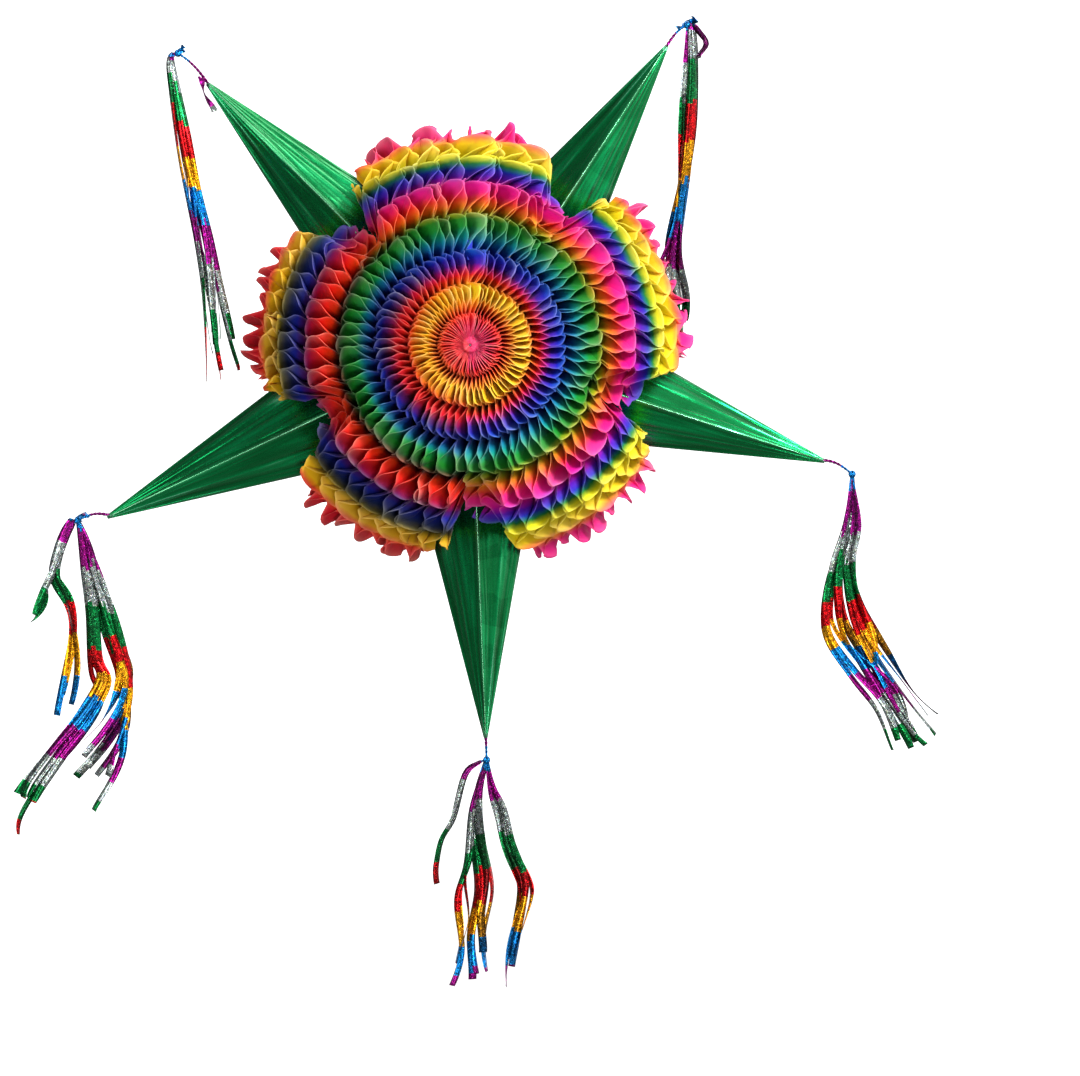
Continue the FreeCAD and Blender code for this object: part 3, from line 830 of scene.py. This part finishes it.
BOARDS = math.pi / 2
FANS = [
    Fan("tissue_fan_right", turned("lower_right"), turned("upper_right"), "lower_right", "upper_right"),
    Fan("tissue_fan_top_right", turned("upper_right"), BOARDS, "upper_right", None),
    Fan("tissue_fan_top_left", BOARDS, turned("upper_left"), None, "upper_left"),
    Fan("tissue_fan_left", turned("upper_left"), turned("lower_left", 1), "upper_left", "lower_left"),
    Fan("tissue_fan_bottom_left", turned("lower_left", 1), turned("bottom", 1), "lower_left", "bottom"),
    Fan("tissue_fan_bottom_right", turned("bottom"), turned("lower_right"), "bottom", "lower_right"),
]
tissue = [make_fan(fan) for fan in FANS]
print("pages:", sum(fan.pages for fan in FANS), "faces:", sum(len(t.data.polygons) for t in tissue))

# %% [markdown]
# ### The dye
#
# Two rows of colours run outwards from the spine: one for the right-hand and upper pages, one for
# the left-hand and lower ones, which is darker. They meet suddenly at the bottom
# cone, where the first and the last page lie side by side, and change into each other over the top.

# %% Dye colours
BRIGHT_SIDE = [
    (0, "ff1888"), (20, "ff0a70"), (28, "ff1030"), (34, "ff4000"), (41, "ffa000"), (48, "ffd400"),
    (58, "ffe000"), (64, "ff8c08"), (70, "ff2c28"), (76, "e00c94"), (82, "5a14c0"), (89, "1020c8"),
    (96, "0060d0"), (104, "00a0c8"), (112, "00b098"), (120, "0ca83c"), (128, "28981c"), (134, "b4b808"),
    (141, "ffa018"), (149, "ff5038"), (156, "ff0c8c"), (167, "e800a8"), (175, "7010d0"), (182, "2030c8"),
    (188, "189830"), (194, "f4ec00"), (210, "ffdc08"), (216, "ff8438"), (222, "ff1c90"), (242, "ff20a4"),
]
DEEP_SIDE = [
    (0, "ff1058"), (16, "ff1038"), (27, "ff3408"), (36, "ff9000"), (44, "ffd800"), (55, "ffb000"),
    (63, "ff3408"), (75, "e80c38"), (83, "780870"), (90, "0c1498"), (99, "0840b8"), (107, "0088b4"),
    (115, "00a850"), (123, "0c9c24"), (130, "0c4c10"), (135, "702000"), (140, "ff4400"), (152, "ff2414"),
    (161, "d00838"), (170, "580870"), (178, "1020a0"), (188, "0c2458"), (195, "585000"), (202, "f0c000"),
    (211, "ffcc00"), (217, "f85010"), (223, "f01430"), (244, "e01030"),
]
DYE_SCALE = 250


def dyed_colour(tree, distance, side):
    """The dye at a distance from the spine, given as a share, with soft bleeding."""
    place = object_place(tree)
    spread = node(tree, "TexNoise", Vector=place, Scale=26.0, Detail=3.0)
    bleed = node(tree, "TexNoise", Vector=place, Scale=140.0, Detail=4.0)
    wide = calculate(tree, "MULTIPLY", calculate(tree, "SUBTRACT", spread.outputs["Fac"], 0.5), 0.03)
    fine = calculate(tree, "MULTIPLY", calculate(tree, "SUBTRACT", bleed.outputs["Fac"], 0.5), 0.014)
    dye = calculate(tree, "ADD", distance, calculate(tree, "ADD", wide, fine))
    bright = ramp(tree, dye, [(mm / DYE_SCALE, srgb(code)) for mm, code in BRIGHT_SIDE])
    deep = ramp(tree, dye, [(mm / DYE_SCALE, srgb(code)) for mm, code in DEEP_SIDE])
    return blend(tree, side, bright, deep)


def tissue_finish():
    """Dyed tissue: thin, soft, with a slight gloss and lit through from behind; a painted highlight at the cut rim
    and on some petal tips, and painted shade deeper in the cells.
    """
    made, tree, shader = new_material("dyed_tissue")
    place = object_place(tree)
    sides = [(0.0, (0, 0, 0)), (0.5, (0, 0, 0)), (0.66, (1, 1, 1)), (1.0, (1, 1, 1))]
    colour = dyed_colour(tree, attribute(tree, "dye"), ramp(tree, attribute(tree, "drift"), sides))
    rim = calculate(tree, "MULTIPLY", attribute(tree, "rim"), 16.0, clamp=True)
    # painted highlight: the cut rim, and the tips of some petals, are mixed towards cream
    edge = calculate(tree, "MULTIPLY", calculate(tree, "SUBTRACT", 1.0, rim), 0.07)
    tip_highlight = calculate(tree, "MULTIPLY", attribute(tree, "pale"), 0.2)
    pale = blend(tree, calculate(tree, "ADD", edge, tip_highlight), colour, (1, 0.95, 0.72, 1))
    # painted shade: the colour darkens deeper into the cells, away from the rim
    depth = calculate(tree, "POWER", attribute(tree, "rim"), 0.7)
    shaded = blend(tree, depth, pale, blend(tree, 1.0, pale, (0.42, 0.32, 0.44, 1), "MULTIPLY"))
    pulp = use(tree, fibres, place, Scale=420.0)
    folds = use(tree, crumple, place, Scale=90.0, Waves=0.6)
    heights = plus(tree, pulp["Height"], folds["Height"], 0.7)
    normal = surface(tree, shader, shaded, plus(tree, 0.42, pulp["Shade"], 0.3), heights, 0.35, 0.0006)
    shader.inputs["Sheen Weight"].default_value = 0.05
    shader.inputs["Specular IOR Level"].default_value = 0.25
    translucent = node(tree, "BsdfTranslucent", Color=shaded, Normal=normal).outputs["BSDF"]
    mixed = node(tree, "MixShader", Fac=0.36, _1=shader.outputs["BSDF"], _2=translucent)
    tree.links.new(mixed.outputs["Shader"], tree.nodes["Material Output"].inputs["Surface"])
    return made


dyed = tissue_finish()
for fan, thing in zip(FANS, tissue):
    thing.data.materials.append(dyed)
    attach(thing, "star")
    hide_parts(fan.name)

# %% [markdown]
# ## The foil cones
#
# Each cone is a sheet of green foil card folded along four creases. By hand it comes out a little
# uneven: soft lengthwise creases run from the tip, and the faces are slightly hollow or full. The
# shape starts as a four-sided cone, is cut into rings and strips, and its points are then pushed
# along their face by a few creases. The long edges are bevelled, as card never folds to a razor.

# %% Shape a cone
CONE_BLUNT = 0.0024
CONE_CARD = 0.0008
CONE_STRIPS = 14
CONE_RINGS = 22
CORNER_ROUND = 0.0006


def crease_height(lines, across, along):
    """How far the creases push a point out: across runs from 0 to 1 over a face."""
    total = 0.0
    for place, width, tall, sway in lines:
        middle_line = place + sway * math.sin(3.1 * along + 7 * place)
        total += tall * max(0.0, 1 - abs(across - middle_line) / width)
    return total


def random_creases(rng):
    """Two or three creases of one face, each a place, a width, a height and a sway."""
    lines = []
    for _ in range(rng.choice((2, 3))):
        place, width = rng.uniform(0.12, 0.88), rng.uniform(0.07, 0.3)
        lines.append((place, width, rng.uniform(-0.03, 0.03), rng.uniform(-0.08, 0.08)))
    return lines


def crease_faces(bm, layers, faces, wide, length):
    """Push each point of a cone along its face, and keep where on the face it lies."""
    for vert in bm.verts:
        along = vert.co.z / length
        half = wide + (CONE_BLUNT - wide) * along
        # the cone's corners are on X and Y, so its faces look along the diagonals
        turn = math.atan2(vert.co.y, vert.co.x) % (2 * math.pi)
        face = int(turn / (math.pi / 2)) % 4
        looks = math.pi / 4 + face * math.pi / 2
        outward = Vector((math.cos(looks), math.sin(looks), 0))
        sideways = Vector((-outward.y, outward.x, 0))
        across = 0.5 + vert.co.dot(sideways) / (half * math.sqrt(2) + 1e-9)
        full, lines = faces[face]
        arch = math.sin(math.pi * min(max(across, 0), 1))
        push = (full * arch + crease_height(lines, across, along)) * half * arch**0.5
        vert.co += outward * push
        vert[layers[0]], vert[layers[1]] = along, across + face


def foil_cone(point):
    """A square taper with creased faces, laid along one point of the star."""
    rng = random.Random("cone " + point)
    length = reach[point] - CORE_REACH
    wide = cone_half(point, CORE_REACH)
    bm = bmesh.new()
    layers = [bm.verts.layers.float.new(name) for name in ("along", "across")]
    bmesh.ops.create_cone(
        bm, cap_ends=False, segments=4, radius1=wide, radius2=CONE_BLUNT, depth=length,
        matrix=Matrix.Translation((0, 0, length / 2)),
    )
    tip_ring = [v for v in bm.verts if v.co.z > length - 1e-6]
    bmesh.ops.contextual_create(bm, geom=tip_ring)
    long_edges = [e for e in bm.edges if abs(e.verts[0].co.z - e.verts[1].co.z) > length / 2]
    bmesh.ops.bevel(
        bm, geom=long_edges, offset=CORNER_ROUND, affect="EDGES", segments=2, profile=0.5, material=-1
    )
    root_edges = [e for e in bm.edges if all(v.co.z < 1e-6 for v in e.verts) and e.calc_length() > wide]
    tip_edges = [e for e in bm.edges if all(v.co.z > length - 1e-6 for v in e.verts)]
    face_edges = set(root_edges)
    for face in bm.faces:
        if any(e in face_edges for e in face.edges):
            face_edges |= {e for e in face.edges if e in tip_edges}
    bmesh.ops.subdivide_edges(bm, edges=list(face_edges), cuts=CONE_STRIPS - 1, use_grid_fill=True)
    for step in range(1, CONE_RINGS):
        height = length * (1 - (1 - step / CONE_RINGS) ** 1.25)
        everything = bm.verts[:] + bm.edges[:] + bm.faces[:]
        bmesh.ops.bisect_plane(bm, geom=everything, plane_co=(0, 0, height), plane_no=(0, 0, 1))
    faces = []
    for _ in range(4):
        lines = random_creases(rng)
        faces.append((rng.uniform(-0.012, 0.012), lines))
    crease_faces(bm, layers, faces, wide, length)
    away = Matrix.Rotation(math.pi / 2 - bearing[point], 4, "Y")
    place = Matrix.Translation(middle) @ away @ Matrix.Translation((0, 0, CORE_REACH))
    bmesh.ops.transform(bm, matrix=place, verts=bm.verts)
    bmesh.ops.recalc_face_normals(bm, faces=bm.faces)
    thing = link_object(f"foil_cone_{point}", bm)
    card = thing.modifiers.new("card", "SOLIDIFY")
    card.thickness = CONE_CARD
    card.offset = -1
    return thing


cones = {point: foil_cone(point) for point in ROUND}
print("cone faces:", {point: len(thing.data.polygons) for point, thing in cones.items()})


# %% Finish of the cones
def foil_finish():
    """Green metallised card: a metal sheen over lengthwise streaks, with a painted highlight along the folds."""
    made, tree, shader = new_material("green_foil_card")
    place = object_place(tree)
    across = calculate(tree, "MULTIPLY", attribute(tree, "across"), 5.0)
    along = calculate(tree, "MULTIPLY", attribute(tree, "along"), 1.5)
    lengthwise = node(tree, "CombineXYZ", X=across, Y=along).outputs["Vector"]
    streaks = node(tree, "TexNoise", Vector=lengthwise, Scale=1.0, Detail=2.5, Distortion=0.6).outputs["Fac"]
    dents = use(tree, crumple, place, Scale=15.0, Waves=1.0)
    grain = use(tree, fibres, place, Scale=260.0)
    green = [(0.3, srgb("04602c")), (0.5, srgb("088444")), (0.64, srgb("10ac60")), (0.74, srgb("78d8a8"))]
    colour = ramp(tree, streaks, green)
    folds = node(tree, "NewGeometry").outputs["Pointiness"]
    # painted highlight: the sharp folds and ridges are mixed towards a pale green
    wear_and_highlight = ramp(tree, folds, [(0.515, (0, 0, 0)), (0.56, (1, 1, 1))])
    mixed = blend(tree, calculate(tree, "MULTIPLY", wear_and_highlight, 0.45), colour, (*srgb("b4e4c8"), 1))
    heights = plus(tree, plus(tree, streaks, dents["Height"], 0.5), grain["Height"], 0.004)
    rough = ramp(tree, grain["Shade"], [(0.3, grey(0.2)), (0.7, grey(0.34))])
    surface(tree, shader, mixed, rough, heights, 0.5, 0.007)
    shader.inputs["Metallic"].default_value = 0.92
    return made


green_foil = foil_finish()
for point, thing in cones.items():
    thing.data.materials.append(green_foil)
    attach(thing, "star")
    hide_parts(f"cone_{point}")

# %% [markdown]
# ## Streamers
#
# A tassel is a bunch of narrow foil strips tied by their tops. The foil is printed in bands of
# blue, purple, silver, green, red and gold, each about as long as a finger is wide times two, and
# covered in fine glitter. Every strip hangs on its own line and twists, so it shows its face here
# and its thin edge there.
#
# The lines below are each a lock of strips: how far right, and how far down, the middle
# of the lock passes, in millimetres from the pivot. A strip is a narrow grid that follows its lock.
# Where the stem leaves room for them, the knot's two short ends stand out from it like ears.

# %% Locks of strips: strips, half width of the lock at its end, and its line
LOCKS = {
    "upper_left": [
        (4, 4, [(0, 0), (-9, 6), (-6, 38), (3, 102), (12, 152), (20, 200), (29, 262), (36, 345)]),
        (4, 6, [(0, 0), (-8, 7), (0, 60), (10, 110), (20, 160), (30, 215), (38, 285), (47, 343)]),
        (1, 1, [(0, 0), (-7, 8), (4, 70), (10, 121), (27, 167), (39, 232), (54, 305), (62, 333)]),
    ],
    "upper_right": [
        (8, 8, [(0, 0), (5, 3), (6, 40), (4, 100), (0, 150), (-9, 210), (-16, 265), (-10, 310), (-8, 341)]),
        (2, 4, [(0, 0), (-1, 60), (-6, 130), (-14, 200), (-22, 250)]),
        (1, 1, [(0, 0), (10, 2), (16, 12), (17, 24), (16, 36)]),
    ],
    "lower_right": [
        (4, 8, [(0, 0), (-8, 60), (-22, 110), (-26, 150), (-20, 180), (4, 215), (34, 250), (52, 290)]),
        (4, 8, [(0, 0), (2, 60), (-4, 100), (4, 150), (20, 190), (40, 225), (62, 258), (84, 284)]),
        (3, 6, [(0, 0), (-4, 50), (-14, 110), (-8, 160), (14, 200), (36, 240), (66, 288)]),
        (1, 1, [(0, 0), (6, 50), (0, 90), (8, 130), (18, 165), (26, 200)]),
    ],
    "bottom": [
        (5, 9, [(0, 0), (5, 30), (16, 60), (24, 100), (38, 140), (40, 165), (32, 205), (24, 238)]),
        (4, 12, [(0, 0), (-10, 40), (-8, 90), (-2, 140), (-10, 190), (-8, 232)]),
        (1, 1, [(0, 0), (-8, 3), (-22, 16), (-36, 60), (-50, 84), (-52, 110), (-48, 130)]),
        (3, 8, [(0, 0), (-14, 50), (-18, 110), (-28, 150), (-24, 200), (-30, 236)]),
    ],
    "lower_left": [
        (5, 9, [(0, 0), (12, 30), (22, 80), (32, 120), (42, 150), (50, 180), (44, 215), (28, 245), (8, 270)]),
        (5, 13, [
            (0, 0), (6, 50), (14, 100), (18, 160), (28, 190), (8, 230), (-22, 270), (-48, 310), (-56, 330),
        ]),
        (3, 6, [(0, 0), (-9, 3), (-20, 30), (-24, 60), (-10, 90), (-6, 120), (-8, 160), (-14, 205)]),
        (2, 3, [(0, 0), (-6, 3), (-14, 20), (-26, 60), (-36, 85), (-48, 108)]),
        (3, 6, [(0, 0), (20, 60), (38, 120), (50, 190), (48, 240), (36, 280), (24, 305)]),
    ],
}
EARS = [(1, 1, [(0, 1), (3, -3), (7, -7)]), (1, 1, [(0, 1), (-5, 0), (-8, 3)])]
EARED = ("upper_left", "upper_right", "lower_left")
STRIP_WIDTH = 0.0072
STRIP_STEP = 0.005
STRIP_CURL = 0.0006
FILM = 0.00015
BAND = 0.034
FLOAT_LAYERS = ("fall", "shift", "shade")


def through(points, share):
    """A place on a smooth line through a few points, at a share of the way."""
    last = len(points) - 1
    number = min(int(share * last), last - 1)
    t = share * last - number
    a, b, c, d = (points[min(max(number + k, 0), last)] for k in (-1, 0, 1, 2))
    return 0.5 * ((2 * b) + (c - a) * t + (2 * a - 5 * b + 4 * c - d) * t**2 + (3 * b - a - 3 * c + d) * t**3)


def strip(bm, layers, pivot, line, aside, rng):
    """One strip of foil: a narrow grid that follows its line, twisting as it falls."""
    fall_layer, shift_layer, shade_layer = layers
    length = sum((b - a).length for a, b in zip(line, line[1:]))
    steps = max(12, round(length / STRIP_STEP))
    grid = bmesh.ops.create_grid(bm, x_segments=2, y_segments=steps, size=0.5)
    width = STRIP_WIDTH * rng.uniform(0.8, 1.25)
    turn = rng.uniform(-0.6, 0.6)
    twist = rng.uniform(-1.4, 1.4)
    wobble = rng.uniform(0, 2 * math.pi)
    waves = rng.uniform(7, 12)
    sway = rng.uniform(0.002, 0.0055)
    ripple = rng.uniform(0.2, 0.7)
    shift = rng.uniform(-0.006, 0.006)
    # painted shade: some strips are darkened all along
    shade = rng.choice((0.22, 0.6, 1.0, 1.0, 1.0))
    for vert in grid["verts"]:
        across, share = vert.co.x * 2, min(max(vert.co.y + 0.5, 0.0), 1.0)
        here = through(line, share)
        ahead = through(line, min(share + 0.01, 1.0)) - through(line, max(share - 0.01, 0.0))
        way = ahead.normalized()
        face = turn + twist * share + ripple * math.sin(waves * share + wobble)
        side = Vector((math.cos(face), math.sin(face), 0))
        side = (side - way * side.dot(way)).normalized()
        curl = way.cross(side) * (STRIP_CURL * (1 - across * across))
        offset = aside * (0.15 + 0.85 * smooth(share))
        flutter = Vector((math.sin(waves * share + wobble), math.cos(8 * share + wobble), 0))
        flutter *= sway * share
        spread = 0.35 + 0.65 * smooth(share * 4)
        vert.co = pivot + here + offset + flutter + side * (across * width / 2 * spread) + curl
        vert[fall_layer] = share * length
        vert[shift_layer] = shift
        vert[shade_layer] = shade
    return grid["verts"]


def tassel(point):
    """All strips of one tassel in one mesh."""
    rng = random.Random("tassel " + point)
    bm = bmesh.new()
    layers = [bm.verts.layers.float.new(name) for name in FLOAT_LAYERS]
    for count, wide, route in LOCKS[point] + (EARS if point in EARED else []):
        for number in range(count):
            place = (number + 0.5) / count * 2 - 1
            aside = Vector((place * wide, rng.uniform(-1, 1) * (3 + wide * 0.5), 0)) / 1000
            cut = rng.uniform(0.84, 1.0) if number else 1.0
            line = [Vector((right / 1000, 0, -down * cut / 1000)) for right, down in route]
            strip(bm, layers, pivots[point], line, aside, rng)
    thing = link_object(f"streamers_{point}", bm)
    film = thing.modifiers.new("film", "SOLIDIFY")
    film.thickness = FILM
    film.offset = 0
    return thing


tassels = {point: tassel(point) for point in ROUND}
print("tassel faces:", {point: len(thing.data.polygons) for point, thing in tassels.items()})

# %% [markdown]
# The bands are a constant ramp over the fall, wrapped every six bands. Each glitter flake leans its
# own way, which the bump gives, and takes a slightly different tint, as the film is holographic.
# Each larger flake is also painted darker or brighter, as a painted glint, and some strips are
# painted darker all along, as painted shade.

# %% Finish of the streamers
BANDS = ["0c80cc", "940c7c", "a4aeaa", "06783a", "cc0c14", "f4a410"]


def streamer_finish(name, scale):
    """Banded glitter foil."""
    made, tree, shader = new_material(name)
    place = object_place(tree)
    fall = calculate(tree, "ADD", attribute(tree, "fall"), attribute(tree, "shift"))
    turns = calculate(tree, "DIVIDE", calculate(tree, "ADD", fall, 0.02), BAND * len(BANDS))
    stops = [(i / len(BANDS), srgb(code)) for i, code in enumerate(BANDS)]
    bands = ramp(tree, calculate(tree, "FRACT", turns), stops, "CONSTANT")
    glitter = use(tree, sparkle, place, Scale=scale)
    coarse = use(tree, sparkle, place, Scale=scale * 0.45)
    tinted = blend(tree, 0.22, bands, glitter["Tint"], "OVERLAY")
    # painted glints: each larger flake's colour is darkened or brightened past white
    glints = [(0.0, grey(0.25)), (0.6, grey(0.9)), (0.86, grey(1.0)), (1.0, grey(1.9))]
    bright = ramp(tree, coarse["Flake"], glints)
    glinting = blend(tree, 1.0, tinted, bright, "MULTIPLY")
    # painted shade: the colour is multiplied by each strip's shade level
    level = attribute(tree, "shade")
    shaded = node(tree, "CombineColor", Red=level, Green=level, Blue=level).outputs["Color"]
    colour = blend(tree, 1.0, glinting, shaded, "MULTIPLY")
    rough = ramp(tree, glitter["Flake"], [(0.0, grey(0.12)), (1.0, grey(0.34))])
    surface(tree, shader, colour, rough, plus(tree, glitter["Height"], coarse["Height"], 1.5), 0.55, 0.0005)
    shader.inputs["Metallic"].default_value = 0.85
    return made


glitter_foil = streamer_finish("streamer_foil", 1100.0)
for point, thing in tassels.items():
    thing.data.materials.append(glitter_foil)
    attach(thing, f"streamers_{point}")
    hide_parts(f"tassel_{point}")

# %% [markdown]
# ## Stems and knots
#
# The tops of the strips are twisted hard into a thin cord that leaves the cone's tip, and a turn of
# the same foil knots the bunch where it begins to hang. The twist is two plies swept round the line
# from the tip to the pivot, and the knot is three small rings that cross. At the upper left a loose
# end of purple foil hangs from the stem beside the cone's tip.

# %% Twisted stem
LOOSE_END_AT = "upper_left"
LOOSE_END = [(-9, -7), (-5, 0), (-2, 9), (2, 20), (5, 30)]
LOOSE_END_SHIFT = 0.015
STEM_RISE = 0.004
STEM_PITCH = 0.009
STEM_STEPS = 40
PLY_OFF_CENTRE = 0.0007
PLY_HALF = Vector((0.0011, 0.0007))
PLY_LEAN = 1.2
# painted shade: the stems and knots are painted a little darker
FOIL_SHADE = 0.8


def ply_section(ply, length, travelled):
    """An oval beside the stem's line, which turns with the twist and thins towards the knot."""
    turn = 2 * math.pi * travelled / STEM_PITCH + math.pi * ply
    thin = 1.3 - 0.5 * travelled / length
    centre = PLY_OFF_CENTRE * thin
    lean = turn + PLY_LEAN
    ring = []
    for i in range(8):
        angle = 2 * math.pi * i / 8
        along, over = PLY_HALF.x * thin * math.cos(angle), PLY_HALF.y * thin * math.sin(angle)
        right = centre * math.cos(turn) + along * math.cos(lean) - over * math.sin(lean)
        ring.append((right, centre * math.sin(turn) + along * math.sin(lean) + over * math.cos(lean)))
    return ring


def twisted_stem(point):
    """Two plies of foil twisted round each other from the cone's tip to the knot."""
    start = tips[point] + (middle - tips[point]).normalized() * 0.004
    way = pivots[point] - start
    rise = Vector((0, 0, STEM_RISE))
    shares = [i / STEM_STEPS for i in range(STEM_STEPS + 1)]
    line = [start + way * share + rise * math.sin(math.pi * share) for share in shares]
    bm = bmesh.new()
    layers = [bm.verts.layers.float.new(name) for name in FLOAT_LAYERS]
    for ply in (0, 1):
        sweep(bm, frames_along(line), functools.partial(ply_section, ply, way.length))
    for vert in bm.verts:
        vert[layers[0]] = (vert.co - pivots[point]).length
        vert[layers[2]] = FOIL_SHADE
    if point == LOOSE_END_AT:
        line = [Vector((right / 1000, -0.003, -down / 1000)) for right, down in LOOSE_END]
        for vert in strip(bm, layers, tips[point], line, Vector(), random.Random(4)):
            vert[layers[1]] = LOOSE_END_SHIFT
            vert[layers[2]] = 1.0
    bmesh.ops.recalc_face_normals(bm, faces=bm.faces)
    return link_object(f"twisted_stem_{point}", bm)


KNOT_RADIUS = 0.0028
KNOT_THICK = 0.0013
KNOT_TURNS = [(0.3, 0.0), (1.2, 0.8), (2.0, 2.3)]


def foil_knot(point):
    """Three rings of folded foil, each turned its own way, pulled tight at the pivot."""
    bm = bmesh.new()
    layers = [bm.verts.layers.float.new(name) for name in FLOAT_LAYERS]
    upright = Matrix.Translation((KNOT_RADIUS, 0, 0)) @ Matrix.Rotation(math.pi / 2, 4, "X")
    for lean, turn in KNOT_TURNS:
        ring = bmesh.ops.create_circle(bm, segments=8, radius=KNOT_THICK, matrix=upright)
        edges = list({e for v in ring["verts"] for e in v.link_edges})
        bmesh.ops.spin(
            bm, geom=ring["verts"] + edges, cent=(0, 0, 0), axis=(0, 0, 1), angle=2 * math.pi, steps=18,
            use_merge=True,
        )
        verts = [v for v in bm.verts if not v.tag]
        for vert in verts:
            vert.tag = True
            vert.co.z *= 1.6
        tilt = Matrix.Rotation(turn, 4, "Z") @ Matrix.Rotation(lean, 4, "X")
        bmesh.ops.transform(bm, matrix=tilt, verts=verts)
    for vert in bm.verts:
        vert[layers[0]] = 0.004 * math.sin(900 * vert.co.x)
        vert[layers[2]] = FOIL_SHADE
    bmesh.ops.translate(bm, verts=bm.verts, vec=pivots[point])
    bmesh.ops.remove_doubles(bm, verts=bm.verts, dist=1e-6)
    bmesh.ops.recalc_face_normals(bm, faces=bm.faces)
    return link_object(f"foil_knot_{point}", bm)


twisted_foil = streamer_finish("twisted_foil", 1500.0)
for point in ROUND:
    made = [
        (twisted_stem(point), "star", f"stem_{point}"),
        (foil_knot(point), f"knot_{point}", f"tassel_knot_{point}"),
    ]
    for thing, body, replaced in made:
        thing.data.materials.append(twisted_foil)
        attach(thing, body)
        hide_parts(replaced)
print("stems and knots:", 2 * len(ROUND))


# %% [markdown]
# ## Card, metal and the hidden pieces
#
# The cover boards, the core that holds the sweets, the eyelet, the clips and the spine wires keep
# the shapes that the engineering model gave them. Each gets the finish of its real material.

# %% Card finishes
def card_finish(name, light, dark, scale):
    """Grey-brown board: pulp flecks, soft stains and rubbed corners."""
    made, tree, shader = new_material(name)
    place = object_place(tree)
    pulp = use(tree, fibres, place, Scale=scale)
    stain = node(tree, "TexNoise", Vector=place, Scale=14.0, Detail=5.0)
    board = ramp(tree, stain.outputs["Fac"], [(0.3, srgb(dark)), (0.7, srgb(light))])
    flecks = ramp(tree, pulp["Shade"], [(0.3, (0.55, 0.5, 0.42)), (0.5, (1, 1, 1))])
    colour = blend(tree, 0.6, board, flecks, "MULTIPLY")
    wear_and_highlight = ramp(tree, node(tree, "NewGeometry").outputs["Pointiness"], [(0.53, (0, 0, 0)), (0.6, (1, 1, 1))])
    rubbed = blend(tree, calculate(tree, "MULTIPLY", wear_and_highlight, 0.4), colour, (*srgb("d9c9ab"), 1))
    surface(tree, shader, rubbed, plus(tree, 0.7, pulp["Shade"], 0.25), pulp["Height"], 0.4, 0.0004)
    return made


def papered_board():
    """Board with a dyed page glued over it, so its stripes are measured from the spine."""
    made, tree, shader = new_material("papered_board")
    place = object_place(tree)
    axes = node(tree, "SeparateXYZ", Vector=place)
    up = calculate(tree, "SUBTRACT", axes.outputs["Z"], middle.z)
    colour = dyed_colour(tree, calculate(tree, "DIVIDE", up, DYE_SCALE / 1000), 0.35)
    pulp = use(tree, fibres, place, Scale=380.0)
    stain = node(tree, "TexNoise", Vector=place, Scale=20.0, Detail=4.0)
    tone = ramp(tree, stain.outputs["Fac"], [(0.3, (0.5, 0.46, 0.42)), (0.7, (0.95, 0.93, 0.9))])
    toned = blend(tree, 1.0, colour, tone, "MULTIPLY")
    surface(tree, shader, toned, plus(tree, 0.65, pulp["Shade"], 0.3), pulp["Height"], 0.4, 0.0004)
    return made


def metal_finish(name, light, dark, rough, scale):
    """Drawn or stamped metal: fine scratches and dull patches."""
    made, tree, shader = new_material(name)
    place = object_place(tree)
    stretched = node(tree, "Mapping", Vector=place, Scale=(1.0, 1.0, 12.0))
    scratch = use(tree, fibres, stretched.outputs["Vector"], Scale=scale)
    patch = node(tree, "TexNoise", Vector=place, Scale=160.0, Detail=4.0)
    colour = ramp(tree, patch.outputs["Fac"], [(0.3, srgb(dark)), (0.65, srgb(light))])
    dull = plus(tree, rough, patch.outputs["Fac"], 0.2)
    surface(tree, shader, colour, dull, scratch["Height"], 0.25, 0.0002)
    shader.inputs["Metallic"].default_value = 1.0
    return made


def vinyl_clip():
    """Steel clip dipped in blue vinyl, scuffed to a paler blue where it grips."""
    made, tree, shader = new_material("vinyl_clip")
    place = object_place(tree)
    scuffs = use(tree, fibres, place, Scale=600.0)
    patch = node(tree, "TexNoise", Vector=place, Scale=220.0, Detail=4.0)
    colour = ramp(tree, patch.outputs["Fac"], [(0.3, srgb("0c28a8")), (0.7, srgb("1438c8"))])
    scuffed = ramp(tree, scuffs["Shade"], [(0.35, srgb("2c50c8")), (0.5, (1, 1, 1))])
    wear_and_highlight = blend(tree, 0.5, colour, scuffed, "MULTIPLY")
    rough = plus(tree, 0.35, patch.outputs["Fac"], 0.25)
    surface(tree, shader, wear_and_highlight, rough, scuffs["Height"], 0.2, 0.0002)
    return made


FINISHES = {
    "core_card": card_finish("core_card", "c9ad7f", "a98a5c", 260.0),
    "cover_card": papered_board(),
    "eyelet_metal": metal_finish("eyelet_brass", "e8c878", "b08a3c", 0.18, 700.0),
    "clip_metal": vinyl_clip(),
    "spine_wire": metal_finish("wire_steel", "b8babc", "7c8084", 0.28, 900.0),
    "white_rope": rope.data.materials[0],
}
shown = [s for s in frame["record"]["subparts"] if s["material_slot"] in FINISHES]
for part in shown:
    if part["node"] in ("rope_tail", "rope_hank"):
        continue
    mesh = nodes[part["node"]].data
    mesh.materials.clear()
    mesh.materials.append(FINISHES[part["material_slot"]])
print("pieces that keep their shape:", len(shown) - 2)
